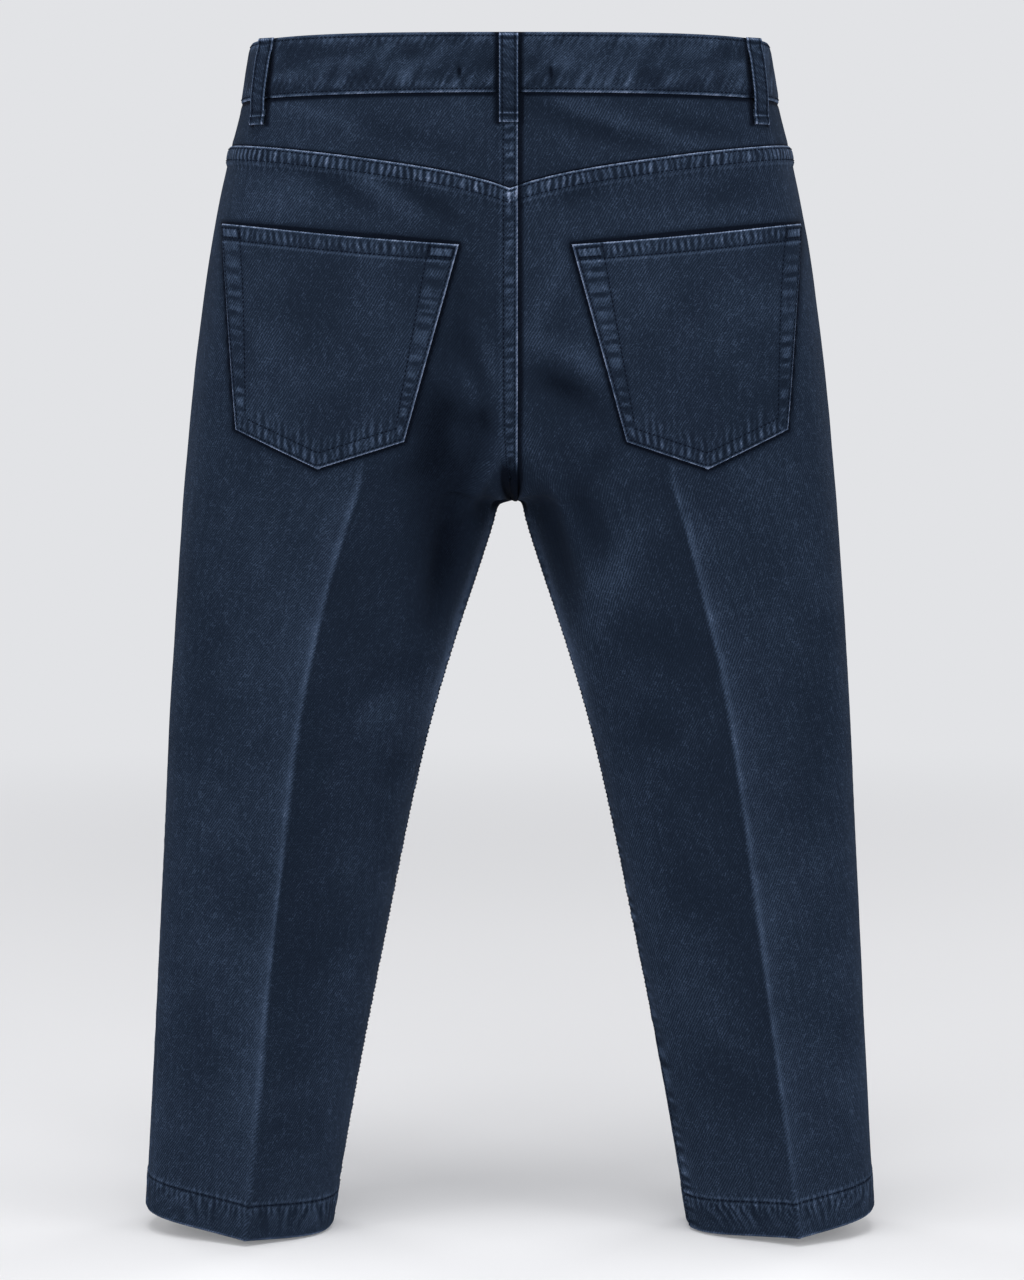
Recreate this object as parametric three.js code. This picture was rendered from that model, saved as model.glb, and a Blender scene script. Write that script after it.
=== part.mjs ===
// Cropped, tapered trousers in cotton twill, filled out as when worn, with pressed creases and a back yoke.
// Millimetres, +Z up. The front faces -Y, the wearer's left is +X, and the origin is the middle of the
// waist opening, half way up the waistband. Every cloth piece is a thin wall on one shared body surface.
import * as THREE from "three";

// ---- Driving sizes -------------------------------------------------------------------------------
const CLOTH = 1.4; // one layer of washed twill with its seam allowance
const SEAM_GAP = 0.3; // between two cut pieces along a seam
const WAIST_TOP = 19.5;
const WAISTBAND_DEPTH = 38; // at the centre; the sides are 2.6 mm deeper
const WAISTBAND_DIP = 2.6;
const WAIST_SIDE_DROP = 1.6; // the top edge falls a little round the hips
const WAISTBAND_PROUD = 1.0; // the doubled band stands out from the cloth that it holds
const WAISTBAND_WALL = 3.0;
const WAISTBAND_LAP = 3.4; // the left end lies over the right end by this much
const LAP_START = -4; // edge of the overlapping end and of the fly, just past the centre front
const LAP_END = 26;
const LAP_RAMP = 34;
const CROTCH = -282; // height of the crotch point
const CROTCH_Y = -6;
const KNEE = -520;
const HEM = -769.5; // height of the hem at the middle of a leg
const HEM_SLOPE = 0.105; // the hem is square to the slanting leg, so it rises outwards
const HEM_HEEL = 0.075; // and it is cut to fall towards the heel
const HEM_DEPTH = 25; // turned-up hem, two layers
const LEG_MIDDLE_AT_HEM = 185.5;
const TWIST_FROM = -230; // below this height each leg is turned a little, both the same way
const TWIST_AT_HEM = 7; // how far that moves a crease sideways
const ROLL_FROM = -430; // below this height the side seams roll round the leg as well
const ROLL_AT_HEM = 0.13; // as a share of the way from the side line to the crease
const BACK_SEAT_TOP = -192; // where the seat seam starts to curve under
const FRONT_RISE_TOP = -214;
const THROAT_PULL = 0.6; // how fully the cloth keeps its line before it turns in at the throat
const FOLD_FREE = { side: 0.6, innerFrom: 1.7, innerTo: 1.97 }; // folds die out before they reach the seams

// Outline of the body seen from behind: half the width at the side seam.
const OUTLINE = [
  { z: 20, side: 169.5 },
  { z: -20, side: 176.5 },
  { z: -60, side: 186.5 },
  { z: -110, side: 196.5 },
  { z: -170, side: 205.5 },
  { z: -230, side: 212.8 },
  { z: -290, side: 218.6 },
  { z: -400, side: 227 },
  { z: -520, side: 234 },
  { z: -650, side: 241.5 },
  { z: -790, side: 250 },
];

// The inner edge of each half: on the centre seam above the crotch, then a narrow arch, then the leg.
// throat: where the cloth starts to turn in towards that edge.
const INSEAM = [
  { z: 20, inner: 0, throat: 40 },
  { z: -140, inner: 0, throat: 46 },
  { z: -200, inner: 0, throat: 42 },
  { z: -240, inner: 0, throat: 33 },
  { z: -262, inner: 0, throat: 25 },
  { z: CROTCH, inner: 0, throat: 19 },
  { z: CROTCH - 1.5, inner: 6.2, throat: 18.6 },
  { z: CROTCH - 5, inner: 8.6, throat: 18 },
  { z: CROTCH - 15, inner: 11.4, throat: 17.5 },
  { z: CROTCH - 42, inner: 20, throat: 22.5 },
  { z: CROTCH - 96, inner: 38, throat: 38.5 },
  { z: CROTCH - 150, inner: 54, throat: 54 },
  { z: CROTCH - 205, inner: 67, throat: 67 },
  { z: CROTCH - 287, inner: 83.5, throat: 83.5 },
  { z: CROTCH - 397, inner: 104.5, throat: 104.5 },
  { z: CROTCH - 510, inner: 124, throat: 124 },
];

// Level sections. ridge: how far out the fullest line or the pressed crease lies. depth: how far behind
// (or before) the side seams it lies. outFall, inFall: how steeply the cloth falls away from it on each
// side, 0 where it is flat. middle: depth of the centre seam. cleft: depth at the throat, from where the
// cloth turns in. corner: fullness at the side seam, 0.55 is round, 0.9 nearly square.
const BACK = [
  { z: 20, ridge: 80, depth: 84, outFall: 0.16, inFall: -0.08, middle: 87.5, cleft: 87, corner: 0.64 },
  { z: -20, ridge: 84, depth: 86, outFall: 0.13, inFall: -0.06, middle: 89, cleft: 88.6, corner: 0.68 },
  { z: -80, ridge: 90, depth: 88.5, outFall: 0.08, inFall: -0.02, middle: 89.2, cleft: 89.8, corner: 0.76 },
  { z: -140, ridge: 95, depth: 91, outFall: 0.04, inFall: 0, middle: 89, cleft: 91, corner: 0.8 },
  { z: -200, ridge: 97, depth: 92, outFall: 0.02, inFall: 0, middle: 86, cleft: 91, corner: 0.8 },
  { z: -240, ridge: 98, depth: 90.5, outFall: 0.03, inFall: 0.03, middle: 84, cleft: 84, corner: 0.78 },
  { z: -262, ridge: 100, depth: 88.5, outFall: 0.06, inFall: 0.06, middle: 80, cleft: 73, corner: 0.76 },
  { z: -280, ridge: 105.5, depth: 86, outFall: 0.09, inFall: 0.09, middle: 80, cleft: 62, corner: 0.74 },
  { z: -305, ridge: 114, depth: 83, outFall: 0.16, inFall: 0.16, middle: 80, cleft: 51, corner: 0.72 },
  { z: -340, ridge: 123.5, depth: 79.5, outFall: 0.25, inFall: 0.25, middle: 80, cleft: 45, corner: 0.7 },
  { z: -420, ridge: 139.5, depth: 73, outFall: 0.36, inFall: 0.38, middle: 80, cleft: 42, corner: 0.66 },
  { z: -520, ridge: 153.5, depth: 66, outFall: 0.43, inFall: 0.45, middle: 80, cleft: 38, corner: 0.62 },
  { z: -650, ridge: 170, depth: 59.5, outFall: 0.47, inFall: 0.49, middle: 80, cleft: 34, corner: 0.6 },
  { z: -790, ridge: 188, depth: 54.5, outFall: 0.5, inFall: 0.52, middle: 80, cleft: 31, corner: 0.58 },
];
const FRONT = [
  { z: 20, ridge: 80, depth: 82, outFall: 0.14, inFall: -0.06, middle: 84.5, cleft: 84.2, corner: 0.62 },
  { z: -20, ridge: 84, depth: 85, outFall: 0.12, inFall: -0.05, middle: 87, cleft: 86.8, corner: 0.64 },
  { z: -80, ridge: 90, depth: 88, outFall: 0.08, inFall: -0.03, middle: 89.2, cleft: 89.2, corner: 0.7 },
  { z: -140, ridge: 96, depth: 88, outFall: 0.06, inFall: -0.01, middle: 88, cleft: 88.4, corner: 0.74 },
  { z: -210, ridge: 101, depth: 84, outFall: 0.06, inFall: 0.02, middle: 82, cleft: 82, corner: 0.74 },
  { z: -245, ridge: 103, depth: 81.5, outFall: 0.08, inFall: 0.05, middle: 80, cleft: 74, corner: 0.73 },
  { z: -265, ridge: 104, depth: 80, outFall: 0.1, inFall: 0.07, middle: 78, cleft: 63, corner: 0.72 },
  { z: -280, ridge: 106, depth: 79, outFall: 0.12, inFall: 0.1, middle: 78, cleft: 55, corner: 0.72 },
  { z: -305, ridge: 114, depth: 76.5, outFall: 0.18, inFall: 0.17, middle: 78, cleft: 46, corner: 0.7 },
  { z: -340, ridge: 123.5, depth: 74, outFall: 0.26, inFall: 0.26, middle: 78, cleft: 42, corner: 0.69 },
  { z: -420, ridge: 139.5, depth: 68.5, outFall: 0.38, inFall: 0.4, middle: 78, cleft: 39, corner: 0.65 },
  { z: -520, ridge: 153.5, depth: 63, outFall: 0.44, inFall: 0.46, middle: 78, cleft: 36, corner: 0.62 },
  { z: -650, ridge: 170, depth: 57.5, outFall: 0.48, inFall: 0.5, middle: 78, cleft: 33, corner: 0.6 },
  { z: -790, ridge: 188, depth: 53.5, outFall: 0.5, inFall: 0.52, middle: 78, cleft: 30, corner: 0.58 },
];

// The yoke seam falls from each side seam to a V at the centre back.
const YOKE_SEAM = [
  { x: 0, z: -80 },
  { x: 13, z: -75.5 },
  { x: 38, z: -69.5 },
  { x: 70, z: -64 },
  { x: 134, z: -55.5 },
  { x: 190, z: -49.5 },
];

// The largest soft folds of the back: a trough from one end to the other, as seen from behind.
// leg: 1 is the wearer's left. depth under 0 is a ridge.
const FOLDS = [
  { leg: 1, x0: 22, z0: -286, x1: 46, z1: -345, width: 11, depth: 3.5 },
  { leg: 1, x0: 84, z0: -272, x1: 34, z1: -262, width: 11, depth: 2.5 },
  { leg: -1, x0: 26, z0: -300, x1: 44, z1: -372, width: 13, depth: 3.5 },
  { leg: -1, x0: 62, z0: -318, x1: 70, z1: -372, width: 14, depth: -3 },
  { leg: -1, x0: 90, z0: -274, x1: 36, z1: -266, width: 12, depth: 3 },
];

// Patch pocket seen from behind, the same for both sides but for a small shift.
const POCKET = {
  innerTop: { x: 36, z: -114.5 },
  outerTop: { x: 186.5, z: -100.5 },
  outerBottom: { x: 177.5, z: -232.5 },
  point: { x: 125.5, z: -257.5 },
  innerBottom: { x: 71.5, z: -240 },
};
const POCKET_SHIFT = { left: -3.5, right: 3.5 };
const POCKET_LIFT = 0.65; // clear of the flat facets of the panel below it

// Belt loops: 12 mm tape, folded under at both ends, standing off the band for a belt.
const LOOP_WIDTH = 12;
const LOOP_STEP_BELOW = 6; // the tape comes down onto the cloth this far under the band
const LOOP_STATIONS = [
  { z: 18.3, gap: 0.5, wall: 2.2 },
  { z: 12.5, gap: 0.5, wall: 2.2 },
  { z: 8.5, gap: 3.8, wall: 1.3 },
  { z: 4, gap: 5, wall: 1.3 },
  { z: -10, gap: 5.2, wall: 1.3 },
  { z: -17, gap: 4.8, wall: 1.3 },
  { z: -23, gap: 3.8, wall: 1.3 },
  { z: -30, gap: 0.6, wall: 2.2 },
  { z: -37, gap: 0.6, wall: 2.2 },
];
const BELT_LOOPS = [
  { name: "belt_loop_back_centre", face: 1, leg: 1, top: 0.8, bottom: 0.8 },
  { name: "belt_loop_back_left", face: 1, leg: 1, top: 155.5, bottom: 162 },
  { name: "belt_loop_back_right", face: 1, leg: -1, top: 155.5, bottom: 161 },
  { name: "belt_loop_front_left", face: -1, leg: 1, top: 104, bottom: 106 },
  { name: "belt_loop_front_right", face: -1, leg: -1, top: 104, bottom: 106 },
];

const FLY_WIDTH = 38;
const FLY_BOTTOM = -176;
const FLY_LIFT = 0.45; // clear of the flat facets of the panels below it
const FLY_ROUNDING = 0.32; // share of its length in which its lower end rounds off
const FLY_TIP = 0.12; // share of its width left at the tip
const BUTTON_X = 11;
const BUTTON_RADIUS = 8.5;
const BUTTON_THICKNESS = 3.2;
const BUTTON_RIM = 1.2;
const BUTTON_DISH = 0.9; // the face is sunk by this much inside the rim

// ---- Materials -----------------------------------------------------------------------------------
const twill = new THREE.MeshStandardMaterial({ color: "#232c3b", roughness: 0.88, metalness: 0 });
const waistTwill = new THREE.MeshStandardMaterial({ color: "#283244", roughness: 0.88, metalness: 0 });
const resin = new THREE.MeshStandardMaterial({ color: "#1c2330", roughness: 0.45, metalness: 0 });

// ---- Shared helpers ------------------------------------------------------------------------------
const clamp = THREE.MathUtils.clamp;
const lerp = THREE.MathUtils.lerp;
const smoothstep = THREE.MathUtils.smoothstep;

// A table read as a smooth curve that never overshoots: a cubic through the rows.
function readTable(rows, key, column, at) {
  const rising = rows[1][key] > rows[0][key];
  const order = (row) => (rising ? row[key] : -row[key]);
  const where = clamp(rising ? at : -at, order(rows[0]), order(rows[rows.length - 1]));
  let i = 0;
  while (i < rows.length - 2 && where > order(rows[i + 1])) i += 1;
  const slope = (j) => {
    const a = rows[j];
    const b = rows[j + 1];
    return (b[column] - a[column]) / (order(b) - order(a));
  };
  const tangent = (j) => {
    if (j === 0) return slope(0);
    if (j === rows.length - 1) return slope(j - 1);
    const before = slope(j - 1);
    const after = slope(j);
    return before * after <= 0 ? 0 : (2 * before * after) / (before + after);
  };
  const span = order(rows[i + 1]) - order(rows[i]);
  const t = (where - order(rows[i])) / span;
  const t2 = t * t;
  const t3 = t2 * t;
  return (
    rows[i][column] * (2 * t3 - 3 * t2 + 1) +
    rows[i + 1][column] * (3 * t2 - 2 * t3) +
    tangent(i) * span * (t3 - 2 * t2 + t) +
    tangent(i + 1) * span * (t3 - t2)
  );
}

function cubic(a, b, c, d, t) {
  const u = 1 - t;
  return u * u * u * a + 3 * u * u * t * b + 3 * u * t * t * c + t * t * t * d;
}

// ---- The body surface ----------------------------------------------------------------------------
// face is 1 for the back and -1 for the front, leg is 1 for the wearer's left and -1 for the right.
// s runs round the body: 0 at the outermost line, 1 on the ridge or crease, 2 at the inner edge.

// Depth of the centre seam, which curves under the seat and meets the inseams at the crotch point.
function seamDepth(face, rows, z) {
  const top = face > 0 ? BACK_SEAT_TOP : FRONT_RISE_TOP;
  const middle = readTable(rows, "z", "middle", Math.max(z, top));
  if (z >= top) return middle;
  if (z <= CROTCH) return face * CROTCH_Y * (1 - smoothstep(CROTCH - z, 0, CROTCH - KNEE));
  const down = (top - z) / (top - CROTCH);
  return lerp(face * CROTCH_Y, middle, Math.sqrt(Math.max(0, 1 - down * down)));
}

function foldDepth(leg, x, z) {
  let sum = 0;
  for (const fold of FOLDS) {
    if (fold.leg !== leg) continue;
    const dx = fold.x1 - fold.x0;
    const dz = fold.z1 - fold.z0;
    const along = ((x - fold.x0) * dx + (z - fold.z0) * dz) / (dx * dx + dz * dz);
    const away = Math.hypot(x - fold.x0 - dx * clamp(along, 0, 1), z - fold.z0 - dz * clamp(along, 0, 1));
    sum += fold.depth * Math.exp(-((away / fold.width) ** 2));
  }
  return sum;
}

function section(face, leg, s, z) {
  const rows = face > 0 ? BACK : FRONT;
  const side = readTable(OUTLINE, "z", "side", z);
  const inner = Math.max(SEAM_GAP / 2, readTable(INSEAM, "z", "inner", z));
  const twist = TWIST_AT_HEM * clamp((TWIST_FROM - z) / (TWIST_FROM - HEM), 0, 1);
  const ridge = readTable(rows, "z", "ridge", z) - face * leg * twist;
  const depth = readTable(rows, "z", "depth", z);
  const corner = readTable(rows, "z", "corner", z);
  let x;
  let y;
  if (s <= 1) {
    const out = readTable(rows, "z", "outFall", z);
    const reach = corner * (side - ridge);
    x = cubic(side, side, ridge + reach, ridge, s);
    y = cubic(0, corner * depth, depth - out * reach, depth, s);
  } else {
    const into = readTable(rows, "z", "inFall", z);
    const throat = readTable(INSEAM, "z", "throat", z);
    const cleft = readTable(rows, "z", "cleft", z);
    const reach = THROAT_PULL * (ridge - throat);
    x = cubic(ridge, ridge - reach, throat, inner, s - 1);
    y = cubic(depth, depth - into * reach, cleft, seamDepth(face, rows, z), s - 1);
  }
  const free = smoothstep(s, 0, FOLD_FREE.side) * (1 - smoothstep(s, FOLD_FREE.innerFrom, FOLD_FREE.innerTo));
  const fold = face > 0 ? foldDepth(leg, x, z) * free : 0;
  return [leg * x, face * (y - fold), z];
}

// Past either edge of a face the same line runs on round the other face.
function bodyPoint(face, leg, s, z) {
  if (s < 0) return new THREE.Vector3(...section(-face, leg, -s, z));
  if (s > 2) return z > CROTCH ? new THREE.Vector3(...section(face, leg, 2, z))
    : new THREE.Vector3(...section(-face, leg, 4 - s, z));
  return new THREE.Vector3(...section(face, leg, s, z));
}

function bodyNormal(face, leg, s, z) {
  const step = 0.004;
  const around = bodyPoint(face, leg, s + step, z).sub(bodyPoint(face, leg, s - step, z));
  const down = bodyPoint(face, leg, s, z - 0.5).sub(bodyPoint(face, leg, s, z + 0.5));
  return around.cross(down).multiplyScalar(-face * leg).normalize();
}

// The place round the body that lies x out from the middle.
function placeAt(face, leg, x, z) {
  let low = 0;
  let high = 2;
  for (let i = 0; i < 30; i += 1) {
    const middle = (low + high) / 2;
    if (Math.abs(section(face, leg, middle, z)[0]) > x) low = middle;
    else high = middle;
  }
  return (low + high) / 2;
}

// ---- Seam lines ----------------------------------------------------------------------------------
// Each gives the height of its seam at a point of the body.
const hipShare = (p) => Math.min(1, Math.abs(p.x) / OUTLINE[0].side);
const waistbandTop = (p) => WAIST_TOP - WAIST_SIDE_DROP * hipShare(p) ** 4;
const waistbandBottom = (p) => WAIST_TOP - WAISTBAND_DEPTH - WAISTBAND_DIP * hipShare(p) ** 2;
const yokeSeam = (p) => readTable(YOKE_SEAM, "x", "z", Math.abs(p.x));
const hemRise = (p) => HEM_SLOPE * (Math.abs(p.x) - LEG_MIDDLE_AT_HEM) - HEM_HEEL * p.y;

// The height where the line at s round the body meets a seam line.
function meetSeam(face, leg, s, line) {
  let z = line(bodyPoint(face, leg, s, 0));
  for (let i = 0; i < 6; i += 1) z = line(bodyPoint(face, leg, s, z));
  return z;
}

// How far the side seam has rolled round the leg at this height.
function seamRoll(leg, z) {
  return leg * ROLL_AT_HEM * smoothstep(ROLL_FROM - z, 0, ROLL_FROM - HEM);
}

// ---- Walls ---------------------------------------------------------------------------------------
// Two grids of the same size become one closed wall: outer face, inner face and four edges.
function wall(outer, inner) {
  const rows = outer.length;
  const columns = outer[0].length;
  const positions = [];
  for (const row of [...outer, ...inner]) {
    for (const p of row) positions.push(p.x, p.y, p.z);
  }
  const at = (layer, i, j) => layer * rows * columns + i * columns + j;
  const faces = [];
  const quad = (a, b, c, d) => faces.push(a, b, c, a, c, d);
  for (let i = 0; i < rows - 1; i += 1) {
    for (let j = 0; j < columns - 1; j += 1) {
      quad(at(0, i, j), at(0, i + 1, j), at(0, i + 1, j + 1), at(0, i, j + 1));
      quad(at(1, i, j), at(1, i, j + 1), at(1, i + 1, j + 1), at(1, i + 1, j));
    }
    quad(at(0, i + 1, 0), at(0, i, 0), at(1, i, 0), at(1, i + 1, 0));
    const last = columns - 1;
    quad(at(0, i, last), at(0, i + 1, last), at(1, i + 1, last), at(1, i, last));
  }
  for (let j = 0; j < columns - 1; j += 1) {
    quad(at(0, 0, j), at(0, 0, j + 1), at(1, 0, j + 1), at(1, 0, j));
    const last = rows - 1;
    quad(at(0, last, j + 1), at(0, last, j), at(1, last, j), at(1, last, j + 1));
  }
  if (enclosedVolume(positions, faces) < 0) faces.reverse();
  const geometry = new THREE.BufferGeometry();
  geometry.setAttribute("position", new THREE.Float32BufferAttribute(positions, 3));
  geometry.setIndex(faces);
  geometry.computeVertexNormals();
  return geometry;
}

function enclosedVolume(positions, faces) {
  const corner = (i) => new THREE.Vector3().fromArray(positions, 3 * faces[i]);
  let volume = 0;
  for (let i = 0; i < faces.length; i += 3) volume += corner(i).dot(corner(i + 1).cross(corner(i + 2)));
  return volume;
}

// Draws the rim of a grid in by half a seam gap.
function trimmed(grid) {
  const rows = grid.length;
  const columns = grid[0].length;
  const towards = (p, q) => p.clone().add(q.clone().sub(p).setLength(SEAM_GAP / 2));
  const copy = grid.map((row) => row.map((p) => p.clone()));
  for (let i = 0; i < rows; i += 1) {
    copy[i][0] = towards(grid[i][0], grid[i][1]);
    copy[i][columns - 1] = towards(grid[i][columns - 1], grid[i][columns - 2]);
  }
  for (let j = 0; j < columns; j += 1) {
    copy[0][j] = towards(copy[0][j], copy[1][j]);
    copy[rows - 1][j] = towards(copy[rows - 1][j], copy[rows - 2][j]);
  }
  return copy;
}

// A cloth piece over a grid of places. lift moves its outer face out, thickness is its wall.
function clothPiece(face, leg, places, lift, thickness) {
  const normals = places.map((row) => row.map(([s, z]) => bodyNormal(face, leg, s, z)));
  const points = places.map((row) => row.map(([s, z]) => bodyPoint(face, leg, s, z)));
  const shift = (grid, amount) =>
    grid.map((row, i) => row.map((p, j) => p.clone().addScaledVector(normals[i][j], amount(i, j))));
  const rim = trimmed(points);
  const outer = shift(rim, () => lift);
  const inner = shift(rim, (i) => lift - thickness(i));
  for (const grid of [outer, inner]) {
    for (const row of grid) {
      for (const p of row) if (p.z > CROTCH - 1) p.x = leg * Math.max(leg * p.x, SEAM_GAP / 2);
    }
  }
  return wall(outer, inner);
}

// ---- Panels --------------------------------------------------------------------------------------
const PANEL_COLUMNS = 6; // on each side of the crease
const FRONT_TOP_ROWS = [-60, -100, -140, -175];
const BACK_TOP_ROWS = [-112, -145, -175];
const PANEL_ROWS = [
  -200, -220, -237, -251, -262, -270, -276, -279, -280, -281.5, -285, -295, -310, -330,
  -360, -400, -450, -505, -560, -615, -670, -715,
];

const HEM_ROWS = [HEM_DEPTH + 1, HEM_DEPTH - 1, 0]; // above the edge: the wall doubles between the first two
const TILT = { from: 560, to: 745 }; // below the origin: here the level rows come to follow the hem

function columnPlaces(leg, z) {
  const roll = seamRoll(leg, z);
  const columns = [];
  for (let j = 0; j < PANEL_COLUMNS; j += 1) columns.push(lerp(roll, 1, j / PANEL_COLUMNS));
  for (let j = 0; j <= PANEL_COLUMNS; j += 1) columns.push(lerp(1, 2 + roll, j / PANEL_COLUMNS));
  return columns;
}

// Rows from the top seam to the hem: the first and last follow their seam lines, the rest are level.
function panelPlaces(face, leg, topSeam, levels) {
  const rows = [];
  const rolled = (z) => columnPlaces(leg * face, z);
  const seamRow = (near, line) => rolled(near).map((s) => [s, meetSeam(face, leg, s, line)]);
  rows.push(seamRow(WAIST_TOP, topSeam));
  for (const z of levels) rows.push(rolled(z).map((s) => [s, z + hemTilt(face, leg, s, z)]));
  for (const up of HEM_ROWS) rows.push(seamRow(HEM + up, (p) => HEM + hemRise(p) + up));
  return rows;
}

// Near the hem the level rows lean until they run along with it.
function hemTilt(face, leg, s, z) {
  return smoothstep(-z, TILT.from, TILT.to) * hemRise(bodyPoint(face, leg, s, z));
}

function panel(face, leg) {
  const levels = [...(face > 0 ? BACK_TOP_ROWS : FRONT_TOP_ROWS), ...PANEL_ROWS];
  const places = panelPlaces(face, leg, face > 0 ? yokeSeam : waistbandBottom, levels);
  const hemRows = places.length - 2;
  return clothPiece(face, leg, places, 0, (i) => (i >= hemRows ? 2 * CLOTH : CLOTH));
}

function yoke(leg) {
  const places = [];
  const down = 3;
  for (let i = 0; i <= down; i += 1) {
    places.push(
      columnPlaces(leg, WAIST_TOP).map((s) => {
        const top = meetSeam(1, leg, s, waistbandBottom);
        return [s, lerp(top, meetSeam(1, leg, s, yokeSeam), i / down)];
      }),
    );
  }
  return clothPiece(1, leg, places, 0, () => CLOTH);
}

// ---- Waistband -----------------------------------------------------------------------------------
// One doubled strip that starts at the centre front, goes round the wearer's left side and the back,
// and ends under its own beginning.
const BAND_STEPS = 14; // in each quarter of the way round

function bandPlaces() {
  const start = placeAt(-1, -1, -LAP_START, 0);
  const places = [{ face: -1, leg: -1, s: start }];
  const sweep = (face, leg, from, to) => {
    for (let i = 1; i <= BAND_STEPS; i += 1) places.push({ face, leg, s: lerp(from, to, i / BAND_STEPS) });
  };
  sweep(-1, 1, 2, 0);
  sweep(1, 1, 0, 2);
  sweep(1, -1, 2, 0);
  sweep(-1, -1, 0, 2);
  places.push({ face: -1, leg: 1, s: placeAt(-1, 1, LAP_END, 0) });
  return places;
}

function waistband() {
  const places = bandPlaces();
  const heights = [0, 0.5, 1];
  const lapOf = (place, i) => {
    const x = bodyPoint(place.face, place.leg, place.s, 0).x;
    if (place.face > 0 || i > places.length / 2) return 0;
    return WAISTBAND_LAP * (1 - smoothstep(x, LAP_END, LAP_END + LAP_RAMP));
  };
  const layer = (depth) =>
    heights.map((down) =>
      places.map((place, i) => {
        const middle = bodyPoint(place.face, place.leg, place.s, 0);
        const z = lerp(waistbandTop(middle), waistbandBottom(middle) + SEAM_GAP / 2, down);
        const normal = bodyNormal(place.face, place.leg, place.s, z);
        const out = WAISTBAND_PROUD + lapOf(place, i) - depth;
        return bodyPoint(place.face, place.leg, place.s, z).addScaledVector(normal, out);
      }),
    );
  return wall(layer(0), layer(WAISTBAND_WALL));
}

// ---- Patch pocket --------------------------------------------------------------------------------
const POCKET_ACROSS = 12;
const POCKET_DOWN = 7;

function pocketPlaces(leg) {
  const shift = leg > 0 ? POCKET_SHIFT.left : POCKET_SHIFT.right;
  const near = (corner) => ({ x: corner.x + shift, z: corner.z });
  const far = (corner) => ({ x: corner.x + shift / 3, z: corner.z });
  const innerTop = near(POCKET.innerTop);
  const outerTop = far(POCKET.outerTop);
  const innerBottom = near(POCKET.innerBottom);
  const outerBottom = far(POCKET.outerBottom);
  const point = { x: POCKET.point.x + shift / 2, z: POCKET.point.z };
  const places = [];
  for (let i = 0; i <= POCKET_DOWN; i += 1) {
    const d = i / POCKET_DOWN;
    const row = [];
    for (let j = 0; j <= POCKET_ACROSS; j += 1) {
      const a = acrossShare(j / POCKET_ACROSS);
      const top = { x: lerp(innerTop.x, outerTop.x, a), z: lerp(innerTop.z, outerTop.z, a) };
      const bottom = pocketBottom(a, innerBottom, point, outerBottom);
      const x = lerp(top.x, bottom.x, d);
      const z = lerp(top.z, bottom.z, d);
      row.push([placeAt(1, leg, x, z), z]);
    }
    places.push(row);
  }
  return places;
}

// Columns stand closer together near the side seam, where the body turns.
const CROWDING = 1.6;
const acrossShare = (t) => 1 - (1 - t) ** CROWDING;

function pocketBottom(a, inner, point, outer) {
  const middle = 0.5;
  if (a <= middle) return { x: lerp(inner.x, point.x, a / middle), z: lerp(inner.z, point.z, a / middle) };
  const t = (a - middle) / (1 - middle);
  return { x: lerp(point.x, outer.x, t), z: lerp(point.z, outer.z, t) };
}

function pocket(leg) {
  return clothPiece(1, leg, pocketPlaces(leg), POCKET_LIFT + CLOTH, () => CLOTH);
}

// ---- Belt loops ----------------------------------------------------------------------------------
function beltLoop(loop) {
  const first = LOOP_STATIONS[0].z;
  const last = LOOP_STATIONS[LOOP_STATIONS.length - 1].z;
  const outer = [];
  const inner = [];
  for (const station of LOOP_STATIONS) {
    const x = lerp(loop.top, loop.bottom, (first - station.z) / (first - last));
    const s = placeAt(loop.face, loop.leg, x, station.z);
    const base = bodyPoint(loop.face, loop.leg, s, station.z);
    const normal = bodyNormal(loop.face, loop.leg, s, station.z);
    const along = new THREE.Vector3(normal.y, -normal.x, 0).normalize();
    const onBand = station.z > waistbandBottom(base) - LOOP_STEP_BELOW;
    const rise = (onBand ? WAISTBAND_PROUD : 0) + station.gap;
    const edge = (side, out) =>
      base.clone().addScaledVector(normal, out).addScaledVector(along, (side * LOOP_WIDTH) / 2);
    outer.push([edge(-1, rise + station.wall), edge(1, rise + station.wall)]);
    inner.push([edge(-1, rise), edge(1, rise)]);
  }
  return wall(outer, inner);
}

// ---- Fly -----------------------------------------------------------------------------------------
// The overlapping edge of the left front with its facing, from the band to its rounded lower end.
const FLY_CROWDING = 1.9; // rows stand closer together towards the rounded end

function fly() {
  const down = 9;
  const across = 4;
  const top = WAIST_TOP - WAISTBAND_DEPTH - SEAM_GAP;
  const outer = [];
  const inner = [];
  for (let i = 0; i <= down; i += 1) {
    const d = 1 - (1 - i / down) ** FLY_CROWDING;
    const z = lerp(top, FLY_BOTTOM, d);
    const round = clamp((d - 1 + FLY_ROUNDING) / FLY_ROUNDING, 0, 1);
    const width = lerp(FLY_TIP, 1, Math.sqrt(1 - round * round)) * FLY_WIDTH;
    const outerRow = [];
    const innerRow = [];
    for (let j = 0; j <= across; j += 1) {
      const x = LAP_START + (width * j) / across;
      const leg = x < 0 ? -1 : 1;
      const s = placeAt(-1, leg, Math.max(Math.abs(x), SEAM_GAP), z);
      const base = bodyPoint(-1, leg, s, z);
      const normal = bodyNormal(-1, leg, s, z);
      outerRow.push(base.clone().addScaledVector(normal, FLY_LIFT + CLOTH));
      innerRow.push(base.clone().addScaledVector(normal, FLY_LIFT));
    }
    outer.push(outerRow);
    inner.push(innerRow);
  }
  return wall(outer, inner);
}

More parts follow.
